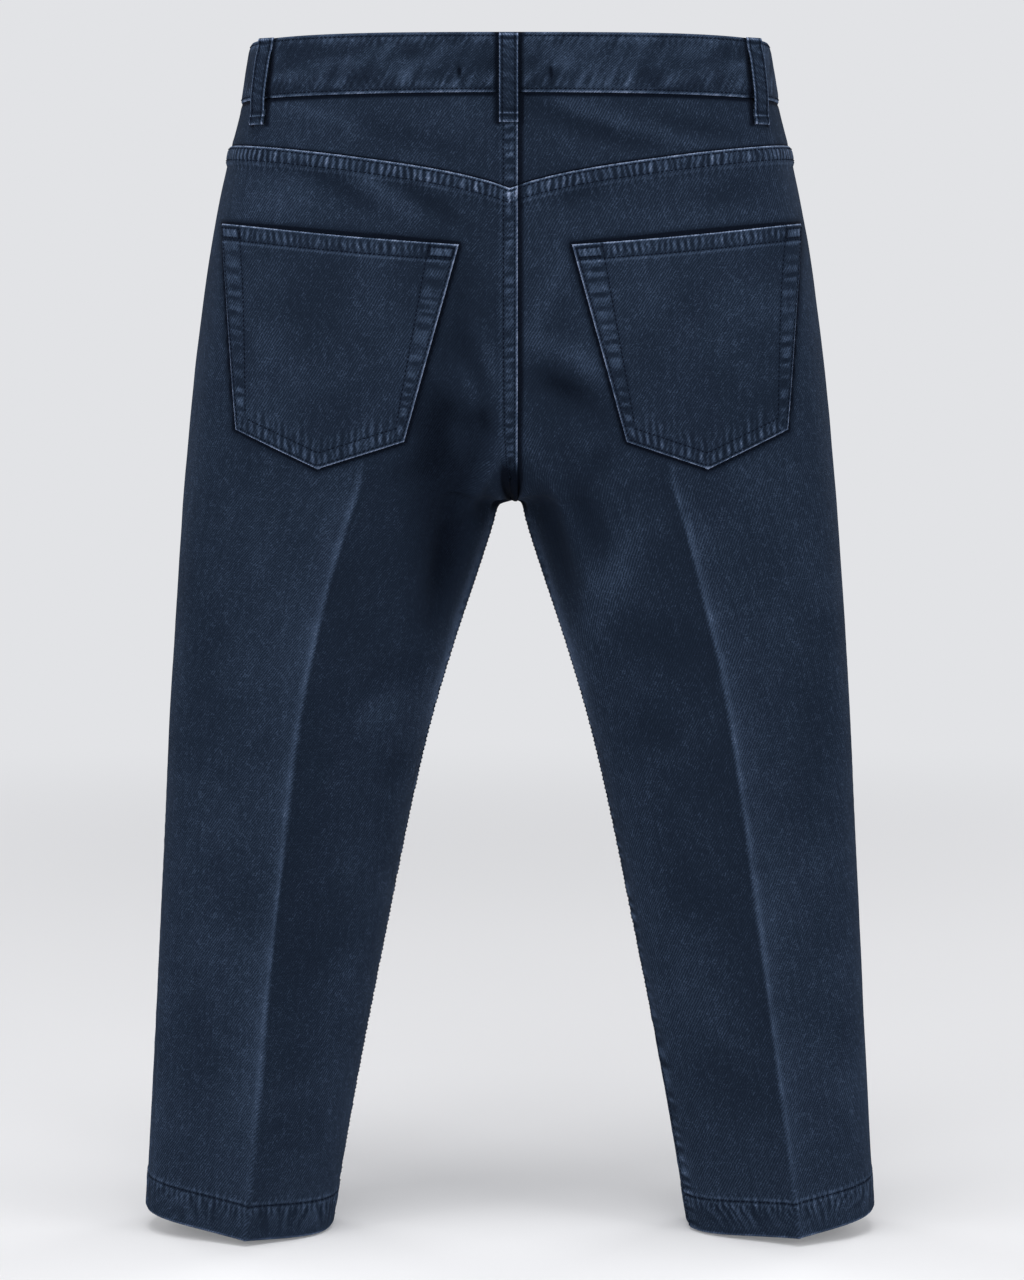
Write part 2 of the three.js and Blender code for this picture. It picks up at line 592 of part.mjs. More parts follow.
// ---- Button --------------------------------------------------------------------------------------
function button() {
  const profile = [
    { radius: 0, height: 0 },
    { radius: BUTTON_RADIUS - 1.5, height: 0 },
    { radius: BUTTON_RADIUS, height: 1.1 },
    { radius: BUTTON_RADIUS, height: BUTTON_THICKNESS - 0.6 },
    { radius: BUTTON_RADIUS - 0.7, height: BUTTON_THICKNESS },
    { radius: BUTTON_RADIUS - BUTTON_RIM - 0.9, height: BUTTON_THICKNESS },
    { radius: BUTTON_RADIUS - BUTTON_RIM - 1.7, height: BUTTON_THICKNESS - BUTTON_DISH },
    { radius: 0, height: BUTTON_THICKNESS - BUTTON_DISH },
  ];
  return new THREE.LatheGeometry(profile.map((ring) => new THREE.Vector2(ring.radius, ring.height)), 28);
}

// ---- The scene -----------------------------------------------------------------------------------
const trousers = new THREE.Group();

function add(name, geometry, material) {
  const mesh = new THREE.Mesh(geometry, material);
  mesh.name = name;
  trousers.add(mesh);
  return mesh;
}

for (const [word, leg] of [
  ["left", 1],
  ["right", -1],
]) {
  add("back_panel_" + word, panel(1, leg), twill);
  add("front_panel_" + word, panel(-1, leg), twill);
  add("back_yoke_" + word, yoke(leg), twill);
  add("back_pocket_" + word, pocket(leg), twill);
}
add("waistband", waistband(), waistTwill);
add("fly", fly(), twill);
for (const loop of BELT_LOOPS) add(loop.name, beltLoop(loop), waistTwill);

// The button stands on the lapped end, clear of the band's slight curve.
const buttonSeat = bodyPoint(-1, 1, placeAt(-1, 1, BUTTON_X, 0), 0);
const waistButton = add("waist_button", button(), resin);
waistButton.position.set(buttonSeat.x, buttonSeat.y - WAISTBAND_PROUD - WAISTBAND_LAP - 2 * SEAM_GAP, 0);
waistButton.rotation.set(Math.PI, 0, 0);

export default trousers;
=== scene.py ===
import math
from functools import partial

import bpy
import numpy as np
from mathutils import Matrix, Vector


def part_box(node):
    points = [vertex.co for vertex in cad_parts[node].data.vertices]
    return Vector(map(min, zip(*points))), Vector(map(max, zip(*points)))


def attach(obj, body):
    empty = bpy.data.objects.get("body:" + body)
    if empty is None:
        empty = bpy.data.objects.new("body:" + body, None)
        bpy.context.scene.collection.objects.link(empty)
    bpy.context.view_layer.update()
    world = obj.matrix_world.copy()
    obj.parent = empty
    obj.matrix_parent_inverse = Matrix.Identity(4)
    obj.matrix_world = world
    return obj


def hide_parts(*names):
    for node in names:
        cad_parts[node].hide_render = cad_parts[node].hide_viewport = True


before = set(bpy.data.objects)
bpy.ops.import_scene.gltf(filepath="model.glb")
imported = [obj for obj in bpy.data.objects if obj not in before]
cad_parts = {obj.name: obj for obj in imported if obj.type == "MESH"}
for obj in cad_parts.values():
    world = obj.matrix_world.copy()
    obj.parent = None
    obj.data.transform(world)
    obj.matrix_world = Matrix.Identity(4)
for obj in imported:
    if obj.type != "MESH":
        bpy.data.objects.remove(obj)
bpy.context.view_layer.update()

bl_info = {
    "name": "Cropped twill trousers",
    "version": (1, 0, 0),
    "blender": (4, 5, 0),
    "location": "View3D > Sidebar > Trousers",
    "description": "Cloth pieces, stitching, button and studio for a pair of cropped twill trousers",
    "category": "Add Mesh",
}

MM = 0.001

# ---- The cut, in millimetres -----------------------------------------------------------------------
# +Z is up, the front faces -Y, and the wearer's left is +X.
SEAM_GAP = 0.3
WAIST_TOP = 19.5
WAIST_HALF = 169.5
WAISTBAND_DEPTH = 38.0
WAISTBAND_DIP = 2.6
WAIST_SIDE_DROP = 1.6
WAISTBAND_PROUD = 1.0
WAISTBAND_LAP = 3.4
LAP_START = -4.0
LAP_END = 26.0
LAP_RAMP = 34.0
CROTCH = -282.0
CROTCH_Y = -6.0
KNEE = -520.0
HEM = -769.5
HEM_SLOPE = 0.105
HEM_HEEL = 0.075
HEM_DEPTH = 25.0
HEM_ROW = 23.6
LEG_MIDDLE_AT_HEM = 185.5
ROLL_FROM = -430.0
ROLL_AT_HEM = 0.13
BACK_SEAT_TOP = -192.0
FRONT_RISE_TOP = -214.0
THROAT_PULL = 0.6
FOLD_STRENGTH = 1.9
# Folds are also painted: ridges paler, as wear and painted highlight, troughs darker, as painted shade.
FOLD_WEAR_AND_SHADE = 0.07  # how much paler each millimetre of a fold's ridge is, and how much deeper its trough
FELL = 5.0  # how far the left back laps over the right at the centre seam
FELL_ROWS = (1.9, 9.2)  # the two rows of stitches of a lapped seam, from its folded edge
FELL_WIDTH = 2 * FELL - 0.4
SIDES = (("left", 1), ("right", -1))


class Table:
    """Rows with named columns, read as smooth curves that never overshoot."""

    def __init__(self, names, *rows):
        self.names = names.split()
        self.data = np.array(sorted(rows), dtype=float)

    def read(self, name, at):
        """A column's value at one height or at many."""
        key = self.data[:, 0]
        value = self.data[:, self.names.index(name)]
        slope = np.diff(value) / np.diff(key)
        tangent = np.zeros(len(key))
        tangent[0], tangent[-1] = slope[0], slope[-1]
        product = slope[:-1] * slope[1:]
        total = np.where(product > 0, slope[:-1] + slope[1:], 1.0)
        tangent[1:-1] = np.where(product > 0, 2 * product / total, 0.0)
        at = np.clip(at, key[0], key[-1])
        i = np.clip(np.searchsorted(key, at, side="right") - 1, 0, len(key) - 2)
        span = key[i + 1] - key[i]
        t = (at - key[i]) / span
        return (
            value[i] * (2 * t**3 - 3 * t**2 + 1)
            + value[i + 1] * (3 * t**2 - 2 * t**3)
            + tangent[i] * span * (t**3 - 2 * t**2 + t)
            + tangent[i + 1] * span * (t**3 - t**2)
        )


OUTLINE = Table(
    "z side",
    (20, 169.5), (-20, 176.5), (-60, 186.5), (-110, 196.5), (-170, 205.5), (-230, 212.8),
    (-290, 218.6), (-400, 227), (-520, 234), (-650, 241.5), (-790, 250),
)
INSEAM = Table(
    "z inner throat",
    (20, 0, 40), (-140, 0, 46), (-200, 0, 42), (-240, 0, 33), (-262, 0, 25), (CROTCH, 0, 19),
    (CROTCH - 1.5, 6.2, 18.6), (CROTCH - 5, 8.6, 18), (CROTCH - 15, 11.4, 17.5), (CROTCH - 42, 20, 22.5),
    (CROTCH - 96, 38, 38.5), (CROTCH - 150, 54, 54), (CROTCH - 205, 67, 67), (CROTCH - 287, 83.5, 83.5),
    (CROTCH - 397, 104.5, 104.5), (CROTCH - 510, 124, 124),
)
BACK = Table(
    "z ridge depth out_fall in_fall middle cleft corner",
    (20, 80, 84, 0.16, -0.08, 87.5, 87, 0.64),
    (-20, 84, 86, 0.13, -0.06, 89, 88.6, 0.68),
    (-80, 90, 88.5, 0.08, -0.02, 89.2, 89.8, 0.76),
    (-140, 95, 91, 0.04, 0, 89, 91, 0.8),
    (-200, 97, 92, 0.02, 0, 86, 91, 0.8),
    (-240, 98, 90.5, 0.03, 0.03, 84, 84, 0.78),
    (-262, 100, 88.5, 0.06, 0.06, 80, 73, 0.76),
    (-280, 105.5, 86, 0.09, 0.09, 80, 62, 0.74),
    (-305, 114, 83, 0.16, 0.16, 80, 51, 0.72),
    (-340, 123.5, 79.5, 0.25, 0.25, 80, 45, 0.7),
    (-420, 139.5, 73, 0.36, 0.38, 80, 42, 0.66),
    (-520, 153.5, 66, 0.43, 0.45, 80, 38, 0.62),
    (-650, 170, 59.5, 0.47, 0.49, 80, 34, 0.6),
    (-790, 188, 54.5, 0.5, 0.52, 80, 31, 0.58),
)
FRONT = Table(
    "z ridge depth out_fall in_fall middle cleft corner",
    (20, 80, 82, 0.14, -0.06, 84.5, 84.2, 0.62),
    (-20, 84, 85, 0.12, -0.05, 87, 86.8, 0.64),
    (-80, 90, 88, 0.08, -0.03, 89.2, 89.2, 0.7),
    (-140, 96, 88, 0.06, -0.01, 88, 88.4, 0.74),
    (-210, 101, 84, 0.06, 0.02, 82, 82, 0.74),
    (-245, 103, 81.5, 0.08, 0.05, 80, 74, 0.73),
    (-265, 104, 80, 0.1, 0.07, 78, 63, 0.72),
    (-280, 106, 79, 0.12, 0.1, 78, 55, 0.72),
    (-305, 114, 76.5, 0.18, 0.17, 78, 46, 0.7),
    (-340, 123.5, 74, 0.26, 0.26, 78, 42, 0.69),
    (-420, 139.5, 68.5, 0.38, 0.4, 78, 39, 0.65),
    (-520, 153.5, 63, 0.44, 0.46, 78, 36, 0.62),
    (-650, 170, 57.5, 0.48, 0.5, 78, 33, 0.6),
    (-790, 188, 53.5, 0.5, 0.52, 78, 30, 0.58),
)
YOKE_SEAM = Table("x z", (0, -80), (13, -75.5), (38, -69.5), (70, -64), (134, -55.5), (190, -49.5))

# How far the pressed creases swing round the legs.
TWIST = {
    1: Table(
        "z crease", (-220, 4.5), (-273, 5.3), (-306, 5.6), (-339, 4.7), (-405, 3.4), (-450, 2.9),
        (-503, 3.8), (-602, 4.7), (-668, 6.9), (-733, 8.3), (-790, 9.2)),
    -1: Table(
        "z crease", (-220, 3.5), (-280, 3.0), (-313, 1.5), (-346, 1.3), (-379, 2.8), (-445, 3.6),
        (-510, 4.5), (-576, 5.2), (-642, 6.2), (-708, 6.9), (-790, 7.2)),
}

# Corners of a pocket: how far out from the middle, and how high.
POCKET = {
    "inner_top": (36, -114.5),
    "outer_top": (186.5, -100.5),
    "outer_bottom": (177.5, -232.5),
    "point": (125.5, -257.5),
    "inner_bottom": (71.5, -240),
}
POCKET_SHIFT = {1: -3.5, -1: 3.5}

# Soft folds of the cloth as seen from outside: a trough from one end to the other, or a ridge where the
# depth is under 0. Columns: face, leg, x and z of each end, width, depth, bend to one side.
FOLDS = [
    # back, broad hollows beside the centre seam
    (1, 1, 34, -120, 40, -215, 24, 2.6, 3),
    (1, 1, 50, -234, 46, -350, 19, 3.6, 3),
    (1, 1, 30, -100, 44, -190, 7, -1.3, -3),
    (1, 1, 56, -176, 34, -216, 8, -1.2, -3),
    (1, 1, 44, -228, 26, -262, 7, -0.5, 2),
    (1, -1, 26, -150, 34, -232, 18, 1.5, 3),
    # back, between the seat and the crotch
    (1, 1, 18, -204, 20, -266, 9, 2.2, 0),
    (1, 1, 24, -262, 48, -360, 11, 4.0, 2),
    (1, 1, 10, -262, 16, -292, 5, 1.6, 0),
    (1, 1, 46, -200, 36, -268, 16, 3.4, -5),
    (1, 1, 34, -168, 16, -212, 7, 0.8, 2),
    (1, 1, 26, -160, 8, -214, 6, -1.2, 2),
    (1, 1, 80, -266, 40, -258, 10, 1.4, 3),
    (1, 1, 7, -242, 30, -292, 6, -2.0, 2),
    (1, 1, 36, -190, 18, -224, 6, -1.9, 2),
    (1, 1, 46, -208, 18, -233, 7, 1.3, -3),
    (1, 1, 19, -219, 12, -236, 4, 1.8, 0),
    (1, 1, 54, -384, 100, -404, 12, 0.9, -3),
    (1, 1, 60, -408, 104, -430, 12, -0.5, -2),
    (1, 1, 70, -446, 82, -470, 8, 1.2, 0),
    (1, -1, 12, -236, 22, -272, 6, -0.7, 2),
    (1, -1, 20, -197, 52, -210, 5, 1.2, 2),
    (1, -1, 26, -252, 46, -306, 7, -0.9, 3),
    (1, -1, 38, -256, 66, -318, 11, 2.6, 5),
    (1, -1, 16, -262, 40, -348, 11, 3.2, 2),
    (1, -1, 16, -198, 64, -230, 11, 2.3, -4),
    (1, -1, 16, -176, 58, -200, 10, -1.8, -3),
    (1, -1, 34, -126, 14, -190, 8, -1.2, 3),
    (1, -1, 66, -244, 52, -262, 8, 1.6, 0),
    (1, -1, 92, -266, 130, -278, 12, 0.6, 3),
    (1, -1, 48, -362, 100, -280, 14, -1.4, -4),
    (1, -1, 70, -364, 122, -380, 18, 1.0, 4),
    (1, -1, 104, -452, 132, -430, 11, -1.2, 0),
    (1, -1, 80, -424, 120, -444, 12, 1.2, 3),
    # back, under the waistband and the yoke
    (1, 1, 178, -84, 120, -88, 12, -0.8, 0),
    (1, 1, 150, -27, 92, -44, 6, -0.9, 2),
    (1, 1, 100, -36, 22, -58, 7, 0.8, -3),
    (1, 1, 134, -66, 84, -94, 7, 1.3, 2),
    (1, 1, 122, -62, 50, -106, 7, -0.9, 3),
    (1, 1, 76, -74, 30, -104, 6, 1.7, 2),
    (1, -1, 14, -28, 96, -51, 6, 1.5, 4),
    (1, -1, 28, -21, 126, -53, 6, -1.1, 4),
    (1, -1, 96, -36, 150, -47, 6, 1.1, 0),
    (1, -1, 30, -88, 60, -79, 6, 0.9, 0),
    (1, -1, 118, -84, 162, -76, 8, 0.9, 2),
    # back, on the legs
    (1, 1, 208, -330, 196, -450, 16, 0.4, 4),
    (1, 1, 150, -520, 196, -560, 22, 0.9, 5),
    (1, 1, 112, -560, 150, -610, 20, 0.9, -4),
    (1, 1, 215, -610, 200, -700, 18, 0.8, 3),
    (1, -1, 204, -380, 190, -500, 17, 1.0, -4),
    (1, -1, 96, -500, 140, -560, 18, 0.8, 4),
    (1, -1, 160, -590, 214, -640, 22, 0.8, 4),
    (1, -1, 120, -640, 160, -700, 18, 0.8, -4),
    # front
    (-1, 1, 12, -250, 60, -276, 10, 2.6, -4),
    (-1, 1, 14, -262, 44, -322, 10, -2.0, 3),
    (-1, 1, 22, -286, 58, -352, 11, 2.8, 3),
    (-1, 1, 34, -222, 92, -232, 12, 1.6, -4),
    (-1, 1, 62, -40, 120, -66, 10, 0.9, 3),
    (-1, 1, 96, -500, 150, -548, 20, 1.2, 5),
    (-1, 1, 200, -360, 190, -470, 16, 0.9, 4),
    (-1, -1, 14, -246, 66, -268, 11, 2.2, -4),
    (-1, -1, 16, -268, 48, -330, 10, -2.2, 3),
    (-1, -1, 26, -292, 62, -366, 12, 2.6, 4),
    (-1, -1, 40, -216, 86, -222, 13, 1.4, -3),
    (-1, -1, 58, -46, 128, -60, 10, 0.9, 3),
    (-1, -1, 104, -520, 160, -560, 20, 1.1, 5),
    (-1, -1, 206, -400, 188, -520, 17, 0.9, -4),
]

# Path of a belt loop's tape: how high, and how far its outer face stands off the cloth under it.
LOOP_WIDTH = 12.0
LOOP_TOP = 18.3
LOOP_DROP = 55.3
LOOP_CLOTH = 1.0
LOOP_PATH = [
    (9.5, 2.3), (13.5, 2.3), (16.6, 2.3), (18.2, 2.5), (18.9, 3.1), (18.4, 3.8), (16.5, 4.2), (13.5, 4.4),
    (10.2, 5.2), (6.5, 6.7), (3, 7.2), (-4, 7.4), (-11, 7.4), (-17, 7.0), (-22, 6.0), (-26, 4.5), (-29, 3.6),
    (-32, 3.3), (-35, 3.2), (-36.8, 2.9), (-37.4, 2.2), (-36.8, 1.6), (-34.5, 1.4), (-31, 1.3), (-28, 1.3),
]
# Each loop: its face and leg, how far out its top and bottom lie, how much of the path's bulge it has,
# and how far it is turned towards the back or the front.
BELT_LOOPS = [
    ("belt_loop_back_centre", 1, 1, 0.8, 0.8, 0.85, 0.0),
    ("belt_loop_back_left", 1, 1, 155.5, 162, 0.5, 0.38),
    ("belt_loop_back_right", 1, -1, 155.5, 161, 0.5, 0.38),
    ("belt_loop_front_left", -1, 1, 104, 106, 0.7, 0.0),
    ("belt_loop_front_right", -1, -1, 104, 106, 0.7, 0.0),
]
TACKS = (32.0, -26.0)  # short upright rows of stitches left on the back of the waistband
FLY_WIDTH = 38.0
FLY_BOTTOM = -176.0
BUTTON_RADIUS = 8.5
BUTTON_THICKNESS = 3.2
BUTTON_RIM = 1.5
BUTTON_HOLLOW = 0.9
BUTTON_HOLE = (1.5, 0.75)  # how far out each way, and its radius
FACING_FRONT = (math.pi / 2, 0, 0)


# ---- Smooth shapes and steady unevenness -----------------------------------------------------------
def smooth(value, low, high):
    """A soft step from 0 at one value to 1 at another."""
    t = np.clip((value - low) / (high - low), 0.0, 1.0)
    return t * t * (3 - 2 * t)


def bell(distance, width):
    """1 at no distance, dying away over a width."""
    return np.exp(-((distance / width) ** 2))


def lattice(cell, seed):
    """A scattered number between 0 and 1 for each cell, the same on every run."""
    mixed = np.sin(cell * 127.1 + seed * 311.7) * 43758.5453
    return mixed - np.floor(mixed)


def wander(at, seed):
    """Smooth wandering between -1 and 1 along one line, the same on every run."""
    cell = np.floor(at)
    t = smooth(at - cell, 0, 1)
    return 2 * (lattice(cell, seed) * (1 - t) + lattice(cell + 1, seed) * t) - 1


def cloud(u, v, size, seed):
    """Smooth unevenness over a surface, from -1 to 1."""
    a, b = u / size, v / size
    i, j = np.floor(a), np.floor(b)
    s, t = smooth(a - i, 0, 1), smooth(b - j, 0, 1)
    near, far = ([lattice((i + p) + 57.0 * (j + q), seed) for q in (0, 1)] for p in (0, 1))
    low, high = (near[q] * (1 - s) + far[q] * s for q in (0, 1))
    return 2 * (low * (1 - t) + high * t) - 1


def ripple(along, period, seed, uneven=0.5, across=0.0):
    """Puckers along a seam: short ridges across it, uneven in spacing, length and strength."""
    turn = along / period + uneven * wander(along / (2.3 * period), seed)
    second = 1.7 * turn + 0.4 * wander(along / (3.1 * period), seed + 2)
    wave = np.cos(2 * np.pi * turn) + 0.6 * np.cos(2 * np.pi * second)
    broken = cloud(along, across + 0 * along, 3.0, seed + 6)
    strength = 0.66 + 0.34 * wander(along / (1.7 * period), seed + 5)
    return strength * np.tanh(1.5 * wave + 1.1 * broken + 0.1)


# ---- The body surface ------------------------------------------------------------------------------
# face is 1 behind and -1 in front, leg is 1 on the wearer's left and -1 on the right. place runs round the
# body: 0 at the outermost line, 1 on the ridge or crease, 2 at the inner edge.
def bezier(a, b, c, d, t):
    """A cubic curve from a to d."""
    u = 1 - t
    return u**3 * a + 3 * u * u * t * b + 3 * u * t * t * c + t**3 * d


def seam_depth(face, rows, z):
    """How deep the inner edge lies: down the middle, under the crotch, then along the inseam."""
    top = BACK_SEAT_TOP if face > 0 else FRONT_RISE_TOP
    middle = rows.read("middle", np.maximum(z, top))
    down = np.clip((top - z) / (top - CROTCH), 0, 1)
    under = face * CROTCH_Y + (middle - face * CROTCH_Y) * np.sqrt(1 - down**2)
    below = face * CROTCH_Y * (1 - smooth(CROTCH - z, 0, CROTCH - KNEE))
    return np.where(z >= top, middle, np.where(z <= CROTCH, below, under))


def section(face, leg, place, z):
    """A point of one face of the body: one curve from the side to the ridge, and one on to the inner edge."""
    rows = BACK if face > 0 else FRONT
    side = OUTLINE.read("side", z)
    inner = np.maximum(SEAM_GAP / 2, INSEAM.read("inner", z))
    twist = TWIST[leg].read("crease", z)
    ridge = rows.read("ridge", z) - face * leg * twist
    depth = rows.read("depth", z)
    corner = rows.read("corner", z)
    t = np.clip(place, 0, 1)
    reach = corner * (side - ridge)
    x_out = bezier(side, side, ridge + reach, ridge, t)
    y_out = bezier(0 * z, corner * depth, depth - rows.read("out_fall", z) * reach, depth, t)
    throat = INSEAM.read("throat", z)
    reach = THROAT_PULL * (ridge - throat)
    t = np.clip(place - 1, 0, 1)
    x_in = bezier(ridge, ridge - reach, throat, inner, t)
    inner_depth = seam_depth(face, rows, z)
    y_in = bezier(depth, depth - rows.read("in_fall", z) * reach, rows.read("cleft", z), inner_depth, t)
    outer_part = place <= 1
    x = np.where(outer_part, x_out, x_in)
    y = np.where(outer_part, y_out, y_in)
    return np.stack([leg * x, face * y, z], axis=-1)


def around(face, leg, place, z):
    """A point of the body. Past either edge of a face the line runs on round the next one."""
    place, z = np.broadcast_arrays(np.asarray(place, float), np.asarray(z, float))
    here = section(face, leg, place, z)
    before = section(-face, leg, -place, z)
    across = section(face, -leg, 4 - place, z)
    beneath = section(-face, leg, 4 - place, z)
    after = np.where((z > CROTCH)[..., None], across, beneath)
    return np.where((place < 0)[..., None], before, np.where((place > 2)[..., None], after, here))


def unit(v):
    """The same directions with a length of 1."""
    return v / np.maximum(np.linalg.norm(v, axis=-1, keepdims=True), 1e-9)


def outward(face, leg, place, z):
    """The direction straight out of the body, from points a little to each side."""
    aside, down = 0.006, 0.8
    run = around(face, leg, place + aside, z) - around(face, leg, place - aside, z)
    fall = around(face, leg, place, z - down) - around(face, leg, place, z + down)
    return unit(-face * leg * np.cross(run, fall))


def place_at(face, leg, x, z):
    """The place round the body that lies x out from the middle."""
    x, z = np.broadcast_arrays(np.asarray(x, float), np.asarray(z, float))
    low, high = np.zeros(x.shape), np.full(x.shape, 2.0)
    for _ in range(26):
        middle = (low + high) / 2
        outside = np.abs(section(face, leg, middle, z)[..., 0]) > x
        low, high = np.where(outside, middle, low), np.where(outside, high, middle)
    return (low + high) / 2


def waistband_top(p):
    """Height of the waistband's top edge, lower at the sides."""
    return WAIST_TOP - WAIST_SIDE_DROP * np.minimum(1, np.abs(p[..., 0]) / WAIST_HALF) ** 4


def waistband_bottom(p):
    """Height of the waistband's lower edge, which dips a little towards the sides."""
    return WAIST_TOP - WAISTBAND_DEPTH - WAISTBAND_DIP * np.minimum(1, np.abs(p[..., 0]) / WAIST_HALF) ** 2


def yoke_seam(p):
    """Height of the V-shaped seam under the yoke."""
    return YOKE_SEAM.read("z", np.abs(p[..., 0]))


def hem_line(p):
    """Height of the hem, lower towards the inseam and at the back."""
    return HEM + HEM_SLOPE * (np.abs(p[..., 0]) - LEG_MIDDLE_AT_HEM) - HEM_HEEL * p[..., 1]


# ---- Cloth as a grid of points ---------------------------------------------------------------------
def running(points, start=0):
    """Length from one column to every other, level with the floor."""
    steps = np.linalg.norm(np.diff(points[..., :2], axis=1), axis=-1)
    total = np.concatenate([np.zeros((len(points), 1)), np.cumsum(steps, axis=1)], axis=1)
    return total - total[:, start : start + 1]


class Cloth:
    """One piece: rows from its top to its bottom, columns round the body, outer face only."""

    def __init__(self, name, face, leg, base, normal, u, v):
        self.name, self.face, self.leg = name, face, leg
        self.base, self.normal, self.u, self.v = base, normal, u, v
        self.height = np.zeros(u.shape)
        # How much paler or darker each point is: wear of edges and folds, together with painted shade and
        # painted highlights.
        self.wear = np.zeros(u.shape)
        self.tug = np.zeros(u.shape)
        self.facing = np.ones(u.shape)

    def finish(self):
        """Raises the points off the body by their height."""
        self.points = self.base + self.normal * self.height[..., None]
        return self

    def along_row(self, field, value, keep):
        """The line over the columns where a field takes a value, going down each column."""
        hit = ((field[:-1] - value) * (field[1:] - value) <= 0) & keep[:-1]
        i, j = np.argmax(hit, axis=0), np.arange(field.shape[1])
        return self.pick(i, j, i + 1, j, field, value, hit.any(axis=0))

    def along_column(self, field, value, keep):
        """The line over the rows where a field takes a value, going across each row."""
        hit = ((field[:, :-1] - value) * (field[:, 1:] - value) <= 0) & keep[:, :-1]
        i, j = np.arange(field.shape[0]), np.argmax(hit, axis=1)
        return self.pick(i, j, i, j + 1, field, value, hit.any(axis=1))

    def pick(self, i, j, k, m, field, value, ok):
        """Points and normals between two neighbours, where the field takes the value."""
        i, j, k, m = i[ok], j[ok], k[ok], m[ok]
        rise = field[k, m] - field[i, j]
        t = np.clip((value - field[i, j]) / np.where(rise == 0, 1, rise), 0, 1)[:, None]
        points = self.points[i, j] * (1 - t) + self.points[k, m] * t
        normals = unit(self.normal[i, j] * (1 - t) + self.normal[k, m] * t)
        return points, normals


def mesh_object(name, points, faces, uv=None, values=None):
    """Makes and links a smooth mesh from millimetres, with its cut as a uv map and values for its points."""
    if len(faces) == 0 or not np.isfinite(points).all():
        raise ValueError(name + " came out empty or with a point that has no place")
    mesh = bpy.data.meshes.new(name)
    mesh.from_pydata((points * MM).tolist(), [], faces.tolist())
    mesh.update()
    if uv is not None:
        corner = np.zeros(len(mesh.loops), dtype=np.int32)
        mesh.loops.foreach_get("vertex_index", corner)
        layer = mesh.uv_layers.new(name="cut")
        layer.data.foreach_set("uv", (uv[corner] * MM).astype(np.float32).ravel())
    for key, value in (values or {}).items():
        data = mesh.attributes.new(key, "FLOAT", "POINT")
        data.data.foreach_set("value", value.ravel().astype(np.float32))
    mesh.polygons.foreach_set("use_smooth", np.ones(len(mesh.polygons), dtype=bool))
    piece = bpy.data.objects.new(name, mesh)
    bpy.context.scene.collection.objects.link(piece)
    return piece


def sew(cloth, thickness, material):
    """Makes the grid a mesh with real thickness behind its outer face."""
    rows, columns = cloth.u.shape
    index = np.arange(rows * columns).reshape(rows, columns)
    quads = np.stack([index[:-1, :-1], index[1:, :-1], index[1:, 1:], index[:-1, 1:]], axis=-1).reshape(-1, 4)
    p = cloth.points
    facing = np.cross(p[1:, :-1] - p[:-1, :-1], p[:-1, 1:] - p[:-1, :-1])
    if np.sum(facing * cloth.normal[:-1, :-1] * (cloth.facing[:-1, :-1, None])) < 0:
        quads = quads[:, ::-1]
    uv = np.stack([cloth.u, cloth.v], axis=-1).reshape(-1, 2)
    piece = mesh_object(cloth.name, p.reshape(-1, 3), quads, uv, {"wear": cloth.wear, "tug": cloth.tug})
    bpy.ops.object.select_all(action="DESELECT")
    bpy.context.view_layer.objects.active = piece
    piece.select_set(True)
    wall = piece.modifiers.new("cloth", "SOLIDIFY")
    wall.thickness, wall.offset = thickness * MM, -1.0
    bpy.ops.object.modifier_apply(modifier=wall.name)
    # The inner wall comes second in the mesh, and is plain.
    for key in ("wear", "tug"):
        data = piece.data.attributes[key].data
        value = np.zeros(len(data), dtype=np.float32)
        data.foreach_get("value", value)
        value[cloth.u.size :] = 0
        data.foreach_set("value", value)
    piece.data.materials.append(material)
    return piece


def ride(piece, nodes):
    """Hangs a piece on the root and hides the nodes it replaces."""
    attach(piece, "root")
    if nodes:
        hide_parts(*nodes)
    return piece


# ---- Stitches --------------------------------------------------------------------------------------
STITCH_RISE = (-0.22, 0.3, -0.22)  # how far the thread stands out at the start, middle and end of a stitch


def stitch_row(line, sewing, closed_off):
    """A row of stitches along a line of points: each a short thread that dives in at both ends."""
    points, normals = line
    if len(points) < 3:
        return []
    run = np.concatenate([[0], np.cumsum(np.linalg.norm(np.diff(points, axis=0), axis=1))])
    pitch = sewing.stitch_length + sewing.stitch_gap
    count = int((run[-1] - 2 * closed_off) / pitch)
    if count < 1:
        return []
    where = closed_off + pitch * np.arange(count)[:, None] + sewing.stitch_length * np.array([0.0, 0.5, 1.0])
    at, up = (
        np.stack([np.interp(where, run, v[:, k]) for k in range(3)], axis=-1) for v in (points, normals))
    up = unit(up)
    side = unit(np.cross(up, unit(at[:, 2:3] - at[:, 0:1])))
    core = at + up * np.array(STITCH_RISE)[None, :, None]
    half = sewing.thread_width / 2
    return [np.stack([core + up * half, core + side * half, core - up * half, core - side * half], axis=2)]


def thread_mesh(name, rings, material):
    """Makes one mesh of many stitches, each three rings of four points."""
    one = [(3, 2, 1, 0), (8, 9, 10, 11)]
    for start in (4, 0):
        one[:0] = [(start + m, start + (m + 1) % 4, start + 4 + (m + 1) % 4, start + 4 + m) for m in range(4)]
    faces = (np.array(one)[None] + 12 * np.arange(len(rings))[:, None, None]).reshape(-1, 4)
    piece = mesh_object(name, rings.reshape(-1, 3), faces[:, ::-1])
    piece.data.materials.append(material)
    return ride(piece, [])


